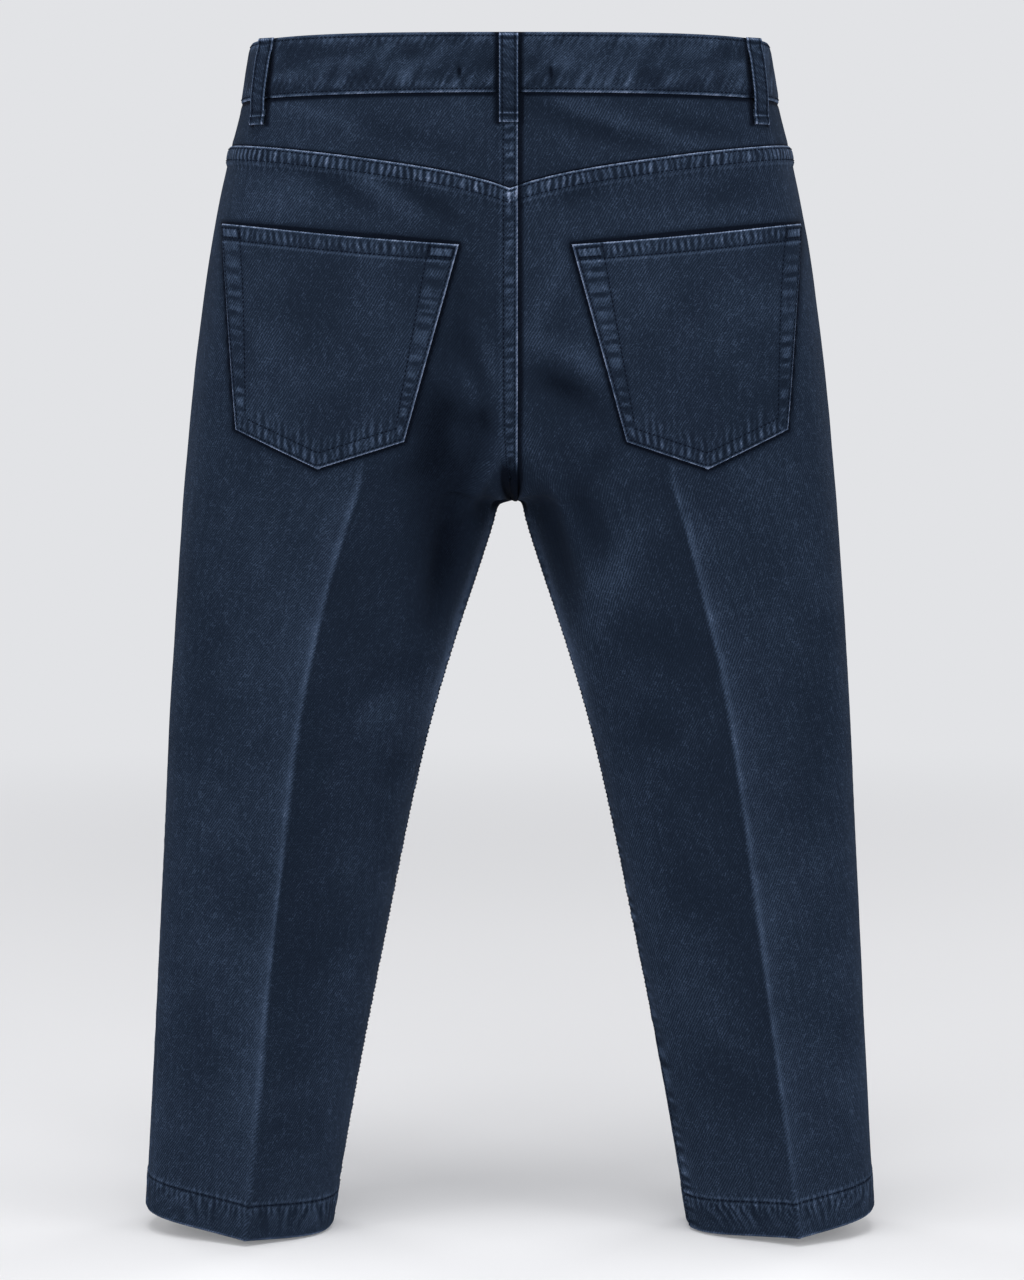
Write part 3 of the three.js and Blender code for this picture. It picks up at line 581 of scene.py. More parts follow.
# ---- Where the columns and rows of a panel lie -----------------------------------------------------
# Distances from an edge, from the crease or from a seam, close together where a shape is fine.
EDGE_STEPS = np.array([0, 0.3, 0.8, 1.5, 2.3, 3.2, 4.4, 5.8, 7.4, 9.2, 11.2, 13.5])
CREASE_STEPS = np.array([0, 0.6, 1.3, 2.2, 3.4, 5.2, 8])
TOP_STEPS = np.array([0, 0.3, 0.8, 1.5, 2.3, 3.2, 4.3, 5.5, 6.7, 7.9, 9.1, 10.3, 11.5, 12.8, 14.5, 17])
HEM_STEPS = np.array([
    0, 0.35, 0.9, 1.7, 2.8, 4.1, 5.5, 7, 8.5, 10, 11.5, 13, 14.5, 16, 17.5, 19, 20.5, 22, 23, 23.8, 24.5,
    25.2, 26, 27.2, 29, 31.5])
NEAR_CROTCH = (14, 18)  # from so far above the crotch to so far below it, rows lie 1 mm apart
YOKE_FOOT = (6.0, 4.6, 3.4, 2.4, 1.6, 0.9, 0.4, 0.0)
# The turned-up hem: how far above the edge, and how far behind the outer face.
TURN_UP = [(-0.5, -0.9), (-0.3, -1.9), (0.5, -2.6), (2.5, -2.8), (8, -2.8), (16, -2.8), (23.5, -2.8)]
# The seam allowance under the waistband: how far above the seam, and how far behind the outer face.
TURN_IN = [(3.4, -3.0), (1.7, -3.0), (0.3, -2.9), (0.1, -1.6)]
LEVELS = np.arange(26.0, -812.0, -4.0)


class Columns:
    """Places round one face of the body, close together at the edges and at the crease."""

    def __init__(self, face, leg, lap):
        self.face, self.leg = face, leg
        outer_count, inner_count = (56, 44) if face > 0 else (34, 28)
        roll = (face * leg * ROLL_AT_HEM * smooth(ROLL_FROM - LEVELS, 0, ROLL_FROM - HEM))[:, None]
        half = 120
        share = np.linspace(0, 1, half + 1)[None, :]
        fine = np.concatenate([roll + (1 - roll) * share, 1 + (1 + roll) * share[:, 1:]], axis=1)
        length = running(around(face, leg, fine, LEVELS[:, None] + 0 * fine))
        crease, total = length[:, half : half + 1], length[:, -1:]
        blocks = [EDGE_STEPS[None, :] + 0 * total]
        for low, high, count, after in (
            (EDGE_STEPS[-1], crease - CREASE_STEPS[-1], outer_count,
             crease + np.concatenate([-CREASE_STEPS[:0:-1], CREASE_STEPS])[None, :]),
            (crease + CREASE_STEPS[-1], total - EDGE_STEPS[-1], inner_count, total - EDGE_STEPS[None, ::-1]),
        ):
            blocks += [low + (high - low) * np.linspace(0, 1, count + 1)[None, 1:-1], after]
        wanted = np.concatenate(blocks, axis=1)
        table = np.array([np.interp(w, l, f) for w, l, f in zip(wanted, length, fine)])
        self.crease = len(EDGE_STEPS) + outer_count - 1 + len(CREASE_STEPS) - 1
        self.last = table.shape[1] - 1
        self.beyond = lap * np.array([0.2, 0.42, 0.62, 0.8, 0.93, 1.0]) if lap else np.zeros(0)
        self.table = table
        self.count = table.shape[1] + len(self.beyond)

    def places(self, z):
        """The place of every column at the heights of one row or of a whole grid."""
        at = np.clip((LEVELS[0] - z) / (LEVELS[0] - LEVELS[1]), 0, len(LEVELS) - 1.001)
        i = at.astype(int)
        t = at - i
        j = np.broadcast_to(np.minimum(np.arange(self.count), self.last), z.shape)
        place = self.table[i, j] * (1 - t) + self.table[i + 1, j] * t
        if len(self.beyond):
            # The lap runs on past the seam and ends square at the crotch.
            lapped = z[..., -len(self.beyond) :]
            throat = 3 * INSEAM.read("throat", lapped)
            place[..., -len(self.beyond) :] += (lapped > CROTCH + SEAM_GAP / 2) * self.beyond / throat
        return place

    def meet(self, line):
        """Height where each column meets a seam line."""
        z = np.full(self.count, float(line(np.array([90.0, 80.0, 0.0]))))
        for _ in range(8):
            z = line(around(self.face, self.leg, self.places(z), z))
        return z


def grid_cloth(name, columns, z):
    """A piece on the body, with the distance of every point from its crease and its edges."""
    face, leg = columns.face, columns.leg
    place = columns.places(z)
    base = around(face, leg, place, z)
    normal = outward(face, leg, place, z)
    level = running(base, columns.crease)
    cloth = Cloth(name, face, leg, base, normal, face * leg * level, z.copy())
    cloth.from_crease = level
    cloth.from_side = level - level[:, :1]
    cloth.from_inner = level[:, columns.last : columns.last + 1] - level
    cloth.from_edge = level[:, -1:] - level
    return cloth


def fold_height(cloth):
    """How far the soft folds raise or sink the cloth."""
    total = np.zeros(cloth.u.shape)
    x = cloth.leg * cloth.base[..., 0]
    z = cloth.base[..., 2]
    for face, leg, x0, z0, x1, z1, width, depth, bend in FOLDS:
        if face != cloth.face or leg != cloth.leg:
            continue
        dx, dz = x1 - x0, z1 - z0
        length = math.hypot(dx, dz)
        along = ((x - x0) * dx + (z - z0) * dz) / length**2
        inside = np.clip(along, 0, 1)
        away = ((x - x0) * dz - (z - z0) * dx) / length - bend * 4 * inside * (1 - inside)
        past = (along - inside) * length
        taper = 0.35 + 0.65 * np.sin(np.pi * inside)
        total -= FOLD_STRENGTH * depth * taper * bell(np.hypot(away, past), width)
    return total


def soften(cloth, strength, seed):
    """Broad and small unevenness of worn cloth, dying out at the edges."""
    return strength * (0.55 * cloud(cloth.u, cloth.v, 62, seed) + 0.2 * cloud(cloth.u, cloth.v, 19, seed + 3))


def rounded(gap, drop=0.9, reach=0.9):
    """The roll of a folded edge: how far the outer face falls at its very edge."""
    return -drop * np.sqrt(np.clip(1 - np.clip(gap, 0, reach) / reach, 0, 1))


def felled(gap, along, width, seed, sewing, period, rope_share=1.0):
    """A lapped seam sewn with two rows: its height and wear against the distance from its folded edge."""
    step = 1 - smooth(gap, width + 0.8, width + 3.0)
    rows = bell(gap - FELL_ROWS[0], 0.7) + bell(gap - width + 0.4, 0.8)
    between = smooth(gap, 1.6, 3.4) * (1 - smooth(gap, width - 2.2, width - 0.6))
    rope = rope_share * ripple(along + 0.16 * gap, period, seed, 0.5, gap)
    depth = sewing.pucker_depth
    height = 1.5 * step + rounded(gap, 1.0) - 0.4 * rows + depth * (0.35 + 0.75 * rope) * between
    past = smooth(gap, width, width + 2) * (1 - smooth(gap, width + 3, width + 12))
    height += 0.22 * depth * ripple(along, period, seed + 2) * past
    wear = 1.15 * bell(gap - 0.35, 0.6) * (0.75 + 0.25 * wander(along / 2.5, seed + 9))
    # The rows of stitches are painted a little darker, as painted shade in their grooves.
    wear += (0.62 * rope + 0.06 + 0.2 * cloud(along, 0.3 * gap, 3.2, seed + 19)) * between - 0.06 * rows
    beside = bell(gap - width - 1.6, 0.8) * (0.6 + 0.4 * wander(along / 4.0, seed + 4))
    wear += (0.55 - 0.55 * rope_share) * beside
    return height, wear


def hem_band(above, along, seed, sewing):
    """The turned-up hem: one row of stitches at its top, slanting puckers below it, a worn lower edge."""
    band = 1 - smooth(above, HEM_DEPTH + 0.4, HEM_DEPTH + 2.2)
    row = bell(above - HEM_ROW, 0.8)
    lean = 1.2 * wander(along / 19.0, seed + 6)
    slant = ripple(along + lean * (above - HEM_DEPTH), 8.8, seed, 0.8, 0.2 * above)
    slant = slant * (0.65 + 0.35 * cloud(along, above, 14, seed + 7))
    reach = smooth(above, 1.0, 7) * (1 - smooth(above, HEM_DEPTH - 5, HEM_DEPTH - 1.6))
    upper = 0.45 + 0.55 * smooth(above, 6, 18)
    height = 0.55 * band - 0.45 * row + sewing.pucker_depth * 0.6 * slant * reach * upper
    height += rounded(above, 0.8, 1.2)
    height += 0.2 * ripple(along, 8.6, seed + 1) * bell(above - HEM_DEPTH - 4, 4.5)
    dots = smooth(ripple(along, 4.6, seed + 9, 0.6), -0.2, 0.9)
    # The row of stitches is painted darker, as painted shade in its groove, with paler dots between.
    wear = 0.36 * slant * reach * upper + (0.5 * dots - 0.32) * row - 0.04 * band
    wear += 0.7 * bell(above - 0.4, 0.9) * (0.7 + 0.3 * wander(along / 6.0, seed + 3))
    # The cloth stands up pale between the stitches, on both sides of the row.
    beside = bell(above - HEM_DEPTH - 0.5, 0.8) + 0.7 * bell(above - HEM_DEPTH + 3.4, 0.9)
    wear += (0.12 + 0.4 * dots) * beside
    return height, wear


def tuck(cloth, height, wear, turned_in):
    """Lays the first rows of a piece behind its face, as a seam allowance."""
    for i, (_, behind) in enumerate(turned_in):
        height[i], wear[i] = behind, -0.4
        cloth.facing[i] = 0


def make_panel(name, face, leg, top_line, lap, sewing, seed, spacing):
    """A front or back panel with its seams, folds, pressed crease and turned-up hem."""
    columns = Columns(face, leg, lap)
    top = columns.meet(top_line)
    bottom = columns.meet(hem_line)
    high, low = CROTCH + NEAR_CROTCH[0], CROTCH - NEAR_CROTCH[1]
    upper = int((np.max(top) - high) / spacing)
    lower = int((low - HEM) / (2.1 * spacing))
    turned_in = TURN_IN if face < 0 else []
    z = [top + up for up, _ in turned_in] + [top - d for d in TOP_STEPS]
    z += [z[-1] + (high - z[-1]) * k / upper for k in range(1, upper)]
    z += [np.full(columns.count, level) for level in np.arange(high, low - 0.5, -1.0)]
    start, end = z[-1], bottom + HEM_STEPS[-1]
    z += [start + (end - start) * k / lower for k in range(1, lower)]
    z += [bottom + d for d in HEM_STEPS[::-1]]
    outer_rows = len(z)
    z += [bottom + max(up, 0) for up, _ in TURN_UP]
    cloth = grid_cloth(name, columns, np.array(z))
    z, u = cloth.v, cloth.u
    side, inner, edge, crease = cloth.from_side, cloth.from_inner, cloth.from_edge, cloth.from_crease
    below_top = top[None, :] - z
    above_hem = z - bottom[None, :]
    cloth.below_top, cloth.above_hem = below_top, above_hem
    folds = fold_height(cloth)
    height = folds * smooth(side, 0, 14) * smooth(inner, 1, 9 + 18 * bell(z - CROTCH, 26))
    free = smooth(side, 0, 22) * smooth(inner, 2, 20) * smooth(below_top, 0, 14) * smooth(above_hem, 4, 40)
    height += soften(cloth, 0.9, seed) * free
    # Folds are painted paler along their ridges, as wear and painted highlight, and darker in their troughs,
    # as painted shade.
    wear = 0.045 * cloud(u, z, 26, seed + 8) + FOLD_WEAR_AND_SHADE * folds
    # The pressed crease starts under the seat and sharpens downwards.
    pressed = smooth(-z, 222, 290) if face > 0 else smooth(-z, 120, 300)
    height += sewing.crease_height * pressed * bell(crease, 3.2)
    # A painted highlight runs beside the crease on its outer side, and painted shade lies over the leg's
    # inner half; both fade towards the hem.
    pressed = pressed * (1 - 0.65 * smooth(-z, 620, 755))
    glow = 0.75 + 0.25 * wander(z / 11.0, seed + 1)
    outer_side = smooth(-crease, -2.5, 1.5)
    pale = 0.28 * bell(crease + 0.8, 3.0) + 0.13 * bell(crease, 15)
    wear += pressed * glow * outer_side * pale
    wear -= pressed * (1 - outer_side) * 0.14 * bell(crease - 6, 40)
    if face > 0:
        # Painted shadow in the step round the pocket.
        corners = [pocket_corner(key, leg) for key in POCKET]
        away = path_distance(leg * cloth.base[..., 0], z, corners + corners[:1])
        wear = wear - 1.3 * bell(away - 0.7, 0.9) - 0.3 * bell(away - 1.0, 2.6)
    # Top seam.
    if face > 0:
        lift, rub = felled(below_top, u, FELL_WIDTH, seed + 11, sewing, 11.0, 0.35)
        height, wear = height + lift, wear + rub
        pull = 0.62 + 0.3 * wander(u / 13.0, seed + 5)
        cloth.tug += pull * smooth(below_top, 0.8, 2.8) * (1 - smooth(below_top, 8.4, 10.4))
        cloth.tug += 0.2 * bell(below_top - 13, 3)
    else:
        height -= 0.3 * bell(below_top, 2.5)
    # Side seam, pressed open: the edges roll in, with faint puckers.
    tug = ripple(z, 11.0, seed + 17, 0.5)
    height += rounded(side, 0.8, 1.4) + 0.16 * tug * bell(side - 4, 4)
    wear += 0.3 * bell(side - 1.2, 1.1) * (0.6 + 0.4 * tug)
    wear -= 0.3 * bell(side, 0.7)
    ridge = smooth(-z, 520, 640) * (0.7 + 0.3 * wander(z / 16.0, seed + 18))
    height += 0.25 * ridge * bell(side - 8.6, 1.2)
    wear += 0.2 * ridge * bell(side - 8.6, 0.9) - 0.12 * ridge * bell(side - 6.8, 1.0)
    # Inner edge: the centre seam above the crotch, the inseam below it.
    leg_part = smooth(-z, -CROTCH - 4, -CROTCH + 10)
    rope = ripple(z, 8.0, seed + 23, 0.5)
    fade = 0.4 + 0.6 * smooth(-z, 330, 520)
    row = bell(inner - 2.0, 0.7)
    lip = 0.8 * (1 - smooth(inner, 2.2, 4.2)) if face > 0 else 0
    inseam = lip - 0.3 * row + 0.9 * sewing.pucker_depth * rope * fade * bell(inner - 5, 4.4)
    height += leg_part * (inseam + rounded(edge, 0.7, 1.0))
    # The inseam's row of stitches is painted darker, as painted shade in its groove.
    wear += leg_part * (0.32 * bell(inner - 0.7, 0.8) + 0.5 * fade * rope * bell(inner - 6, 4.6) - 0.2 * row)
    rise_part = 1 - leg_part
    if lap:
        lift, rub = felled(edge, z, FELL_WIDTH, seed + 29, sewing, 6.4, 0.6)
        rub += 0.35 * bell(below_top - 5, 5) * bell(edge - 5.5, 4)
        # Its lowest part is painted in shadow: its worn edge fades and it turns very dark.
        fell_foot_shadow = smooth(-z, 250, 272)
        rub = rub * (1 - 0.85 * fell_foot_shadow) - 1.3 * fell_foot_shadow * (1 - smooth(edge, 10, 13))
        height, wear = height + rise_part * lift, wear + rise_part * rub
        beside = edge - 2 * FELL - 1.6
    else:
        height += rise_part * rounded(inner, 0.8, 1.2)
        # Painted shadow beside the other back's lapped edge, and a faint painted shade line down the front's
        # middle.
        shade = 1.3 if face > 0 else 0.2
        wear -= rise_part * shade * bell(inner - (FELL + 1.3 if face > 0 else 0), 1.4)
        beside = inner - FELL - 1.5
    if face > 0:
        # Small deep hollows on both sides of the fell, just above the crotch, painted dark as painted shade,
        # with more painted shade along the inner edge there and beside the fell on the right back.
        hollow = smooth(-z, 248, 278) * bell(beside, 1.4 + 2.6 * smooth(-z, 252, 281)) * rise_part
        height, wear = height - 2.4 * hollow, wear - 1.9 * hollow
        wear -= 1.5 * smooth(-z, 250, 278) * bell(inner, 8) * rise_part
        if leg < 0:
            wear -= 1.2 * smooth(-z, 238, 275) * bell(inner - FELL - 2, 2.4) * rise_part
    if face < 0 and leg > 0:
        # The seam allowance below the fly lies behind the other front.
        for j, across, behind in ((-1, 1.4, 1.4), (-2, 0.3, 0.6)):
            cloth.base[:, j, 0] -= across * rise_part[:, j]
            height[:, j] -= behind * rise_part[:, j]
    # The inner thighs rub against each other.
    thigh = smooth(-z, 264, 300) * (1 - smooth(-z, 380, 470))
    wear += 0.42 * thigh * smooth(inner, 0.5, 4) * bell(inner - 8, 16)
    # The lower legs are a little paler.
    wear += 0.045 * smooth(-z, 500, 620)
    # Hem.
    lift, rub = hem_band(above_hem, u, seed + 31, sewing)
    band = smooth(-above_hem, -40, -34)
    height, wear = height + band * lift, wear + band * rub
    past = above_hem - HEM_DEPTH
    cloth.tug += band * (0.36 * bell(past + 5.5, 4) + 0.16 * bell(past - 2.5, 2))
    tuck(cloth, height, wear, turned_in)
    for k, (up, behind) in enumerate(TURN_UP):
        i = outer_rows + k
        height[i] = behind
        wear[i] = 0.3 if k < 1 else -0.1
        cloth.base[i, :, 2] += min(up, 0)
        cloth.facing[i] = 0
    cloth.height, cloth.wear = height, wear
    return cloth.finish()


def make_yoke(name, leg, lap, sewing, seed):
    """One half of the back yoke, tucked in behind the waistband and lapped under by the back panel."""
    columns = Columns(1, leg, lap)
    top = columns.meet(waistband_bottom) + 0.1
    bottom = columns.meet(yoke_seam)
    z = [top + up for up, _ in TURN_IN] + [top - d for d in TOP_STEPS[:9]]
    start, end = z[-1], bottom + YOKE_FOOT[0]
    z += [start + (end - start) * t for t in np.linspace(0, 1, 38)[1:-1]]
    z += [bottom + d for d in YOKE_FOOT]
    cloth = grid_cloth(name, columns, np.array(z))
    below = top[None, :] - cloth.v
    above = cloth.v - bottom[None, :]
    cloth.below_top, cloth.above_hem = below, above
    free = smooth(cloth.from_side, 0, 16) * smooth(cloth.from_inner, 2, 16)
    free = free * smooth(below, 0, 8) * smooth(above, 0, 8)
    height = (fold_height(cloth) + soften(cloth, 0.6, seed)) * free
    height = height - 0.35 * bell(below, 2.0) - 0.4 * bell(above, 2.2)
    height += 0.16 * ripple(cloth.u, 9, seed + 2) * (bell(below - 4, 4) + bell(above - 4, 4))
    height += rounded(cloth.from_side, 0.8, 1.4)
    # Folds are painted paler along their ridges, as wear and painted highlight, and darker in their troughs,
    # as painted shade.
    wear = 0.06 * cloud(cloth.u, cloth.v, 24, seed + 8) + FOLD_WEAR_AND_SHADE * fold_height(cloth) - 0.04
    # Painted shadow under the waistband's lower edge and above the back panel's lapped edge, and the belt
    # loops' painted shadow.
    wear = wear - 1.5 * bell(below - 0.7, 1.4) - 1.3 * bell(above - 1.0, 0.9) - loop_shade(cloth.base)
    wear += 0.2 * bell(cloth.from_side - 1.2, 1.1)
    if lap:
        lift, rub = felled(cloth.from_edge, cloth.v, FELL_WIDTH, seed + 29, sewing, 6.4, 0.6)
        height, wear = height + lift, wear + rub
    else:
        height += rounded(cloth.from_inner, 0.8, 1.2)
        # Painted shadow beside the left yoke's lapped edge.
        wear -= 1.3 * bell(cloth.from_inner - FELL - 1.3, 1.4)
    tuck(cloth, height, wear, TURN_IN)
    cloth.height, cloth.wear = height, wear
    return cloth.finish()


# ---- Pocket ----------------------------------------------------------------------------------------
POCKET_STEPS = np.array([
    0, 0.3, 0.7, 1.2, 1.7, 2.3, 2.9, 3.5, 4.1, 4.8, 5.6, 6.4, 7.2, 8, 8.7, 9.4, 10, 10.6, 11.3, 12, 12.8,
    13.6, 14.4, 15.2, 16, 16.8, 17.8, 19])
# How far in the second row of stitches runs along each side, at its top and at its bottom.
POCKET_ROW = {"inner": (18.6, 6.4), "outer": (18.0, 7.0)}
POCKET_SIZE = (150.0, 140.0)  # width and height, for the spacing of its points
POCKET_TACK = (18.2, 8.4)  # width and height of the stitched box at each top corner


def crowded(length, steps, spacing):
    """Shares from 0 to 1 along a length, close together at both ends."""
    middle = np.linspace(steps[-1], length - steps[-1], int((length - 2 * steps[-1]) / spacing) + 2)
    return np.concatenate([steps, middle[1:-1], length - steps[::-1]]) / length


def path_distance(q, z, path):
    """Distance of every point from a path of corners laid out flat."""
    best = np.full(q.shape, 1e9)
    for (q0, z0), (q1, z1) in zip(path[:-1], path[1:]):
        dq, dz = q1 - q0, z1 - z0
        t = np.clip(((q - q0) * dq + (z - z0) * dz) / max(dq * dq + dz * dz, 1e-9), 0, 1)
        best = np.minimum(best, np.hypot(q - q0 - t * dq, z - z0 - t * dz))
    return best


def pocket_corner(name, leg):
    """A corner of the pocket, shifted as it is sewn on that side."""
    x, z = POCKET[name]
    share = {"inner_top": 1, "inner_bottom": 1, "point": 0.5}.get(name, 1 / 3)
    return np.array([x + POCKET_SHIFT[leg] * share, z], dtype=float)


def make_pocket(name, leg, sewing, seed):
    """A five-cornered patch pocket with its folded edges, two rows of stitches and boxed tacks."""
    across, down = (crowded(length, POCKET_STEPS, 1.6) for length in POCKET_SIZE)
    a, d = np.meshgrid(across, down)
    corner = {key: pocket_corner(key, leg) for key in POCKET}
    a = a[..., None]
    top = corner["inner_top"] * (1 - a) + corner["outer_top"] * a
    left = corner["inner_bottom"] * (1 - 2 * a) + corner["point"] * 2 * a
    right = corner["point"] * (2 - 2 * a) + corner["outer_bottom"] * (2 * a - 1)
    bottom = np.where(a <= 0.5, left, right)
    flat = top * (1 - d[..., None]) + bottom * d[..., None]
    x, z = flat[..., 0], flat[..., 1]
    # A worn pocket sags a little between its corners.
    z = z - 1.2 * np.sin(np.pi * a[..., 0]) * (1 - d) ** 2
    place = place_at(1, leg, x, z)
    base = around(1, leg, place, z)
    normal = outward(1, leg, place, z)
    q = x[:, :1] + running(base)
    cloth = Cloth(name, 1, leg, base, normal, -leg * q, z.copy())
    ends = np.r_[0 : len(down) : 6, len(down) - 1]
    cloth.to_inner = path_distance(q, z, list(zip(q[ends, 0], z[ends, 0])))
    cloth.to_outer = path_distance(q, z, list(zip(q[ends, -1], z[ends, -1])))
    ends = np.r_[0 : len(across) : 4, len(across) - 1]
    cloth.to_top = path_distance(q, z, list(zip(q[0, ends], z[0, ends])))
    cloth.to_bottom = path_distance(q, z, list(zip(q[-1, ends], z[-1, ends])))
    side, low, high = np.minimum(cloth.to_inner, cloth.to_outer), cloth.to_bottom, cloth.to_top
    inner_half = cloth.to_inner < cloth.to_outer
    inner_row, outer_row = (start * (1 - d) + end * d for start, end in POCKET_ROW.values())
    second = np.where(inner_half, inner_row, outer_row)
    cloth.past_row = {"inner": cloth.to_inner - inner_row, "outer": cloth.to_outer - outer_row}
    edge = np.minimum(np.minimum(side, low), high)
    depth = sewing.pucker_depth
    height = 1.95 + soften(cloth, 0.55, seed) * smooth(edge, 3, 25) + rounded(edge, 1.3, 1.0)
    wear = 0.06 * cloud(cloth.u, cloth.v, 22, seed + 1) - 0.04
    # Allowances folded under along the sides, the bottom and the top hem.
    height += 0.5 * (1 - np.minimum.reduce([
        smooth(side, second - 0.5, second + 1.8), smooth(low, 9.5, 12.5), smooth(high, 10.2, 12.0)]))
    side_rope = np.where(
        inner_half, ripple(z - 0.12 * side, 8.0, seed + 4, 0.7, 0.5 * side),
        ripple(z + 0.1 * side, 8.8, seed + 6, 0.7, 0.5 * side))
    side_band = smooth(side, 2, 5) * (1 - smooth(side, second - 3, second + 0.5)) * smooth(high, 9, 14)
    side_band = side_band * (0.55 + 0.45 * d) * (0.75 + 0.25 * cloud(q, z, 16, seed + 15))
    low_rope = ripple(q + 0.15 * low, 6.2, seed + 8, 0.6, 0.3 * low)
    low_band = (0.9 * bell(low - 5.6, 3.0) + 0.45 * bell(low - 14, 5)) * smooth(side, 4, 12)
    lean = 0.55 * wander(q / 13.0, seed + 12)
    top_rope = ripple(q + lean * (high - 5), 5.0, seed + 10, 0.6)
    top_band = bell(high - 5.2, 3.6)
    puckers = 1.1 * side_rope * side_band + 0.7 * low_rope * low_band + 0.6 * top_rope * top_band
    height += depth * 0.8 * puckers
    wear += 0.54 * puckers + 0.06 * (side_band + low_band + top_band)
    rows = bell(side - 2.0, 0.7) + bell(low - 2.0, 0.7) + bell(side - second, 0.8) * smooth(high, 9.5, 11)
    rows = np.minimum(rows + bell(low - 9.8, 0.8) + bell(high - 10.0, 0.8), 1.2)
    height -= 0.38 * rows
    # Painted shade along the sunken rows of stitches.
    wear -= 0.08 * rows
    wear += 1.1 * bell(edge - 0.35, 0.6) * (0.75 + 0.25 * wander((q + z) / 3.5, seed + 14))
    wear += 0.34 * bell(high - 11.6, 0.8)
    # The boxed tack: a paler block inside a dark outline, and a bar where the side's row begins.
    wide, tall = POCKET_TACK
    past_box = np.maximum(
        np.abs(side - wide / 2 - 0.4) - wide / 2 + 2.2, np.abs(high - tall / 2 - 1.4) - tall / 2 + 1.4)
    fill = 1 - smooth(past_box, -0.5, 0.3)
    wear += 0.3 * fill - 0.6 * bell(past_box - 0.4, 0.7)
    wear -= 0.7 * bell(side - wide, 0.7) * (1 - smooth(high, 9, 10))
    wear += 0.35 * bell(np.hypot(side, high), 3.0)
    cloth.tug = 0.58 * bell(high - 5.4, 3.2) * (1 - fill) + 0.55 * bell(low - 5.6, 3.2)
    cloth.tug = cloth.tug * smooth(side, 2, 6) + 0.3 * bell(low - 13.5, 4.5) * smooth(side, 10, 20)
    wear += 0.07 * cloud(cloth.u, cloth.v, 30, seed + 21)
    cloth.height, cloth.wear = height, wear
    return cloth.finish()


# ---- Waistband -------------------------------------------------------------------------------------
def loop_shade(base):
    """Painted shadow in the narrow gaps beside the belt loops, where they stand off the cloth."""
    total = np.zeros(base.shape[:-1])
    for _, face, leg, top, bottom, _, _ in BELT_LOOPS:
        x = top + (bottom - top) * np.clip((LOOP_TOP - base[..., 2]) / LOOP_DROP, 0, 1)
        middle = around(face, leg, place_at(face, leg, x, base[..., 2]), base[..., 2])
        away = np.hypot(base[..., 0] - middle[..., 0], base[..., 1] - middle[..., 1])
        total += 1.5 * bell(away - LOOP_WIDTH / 2 - 1.1, 1.5) * smooth(base[..., 2], -39.5, -37.5)
    return total


BAND_STEPS = np.array([0, 0.35, 0.9, 1.6, 2.4, 3.3, 4.4, 5.8, 7.6, 9.8, 12.2])


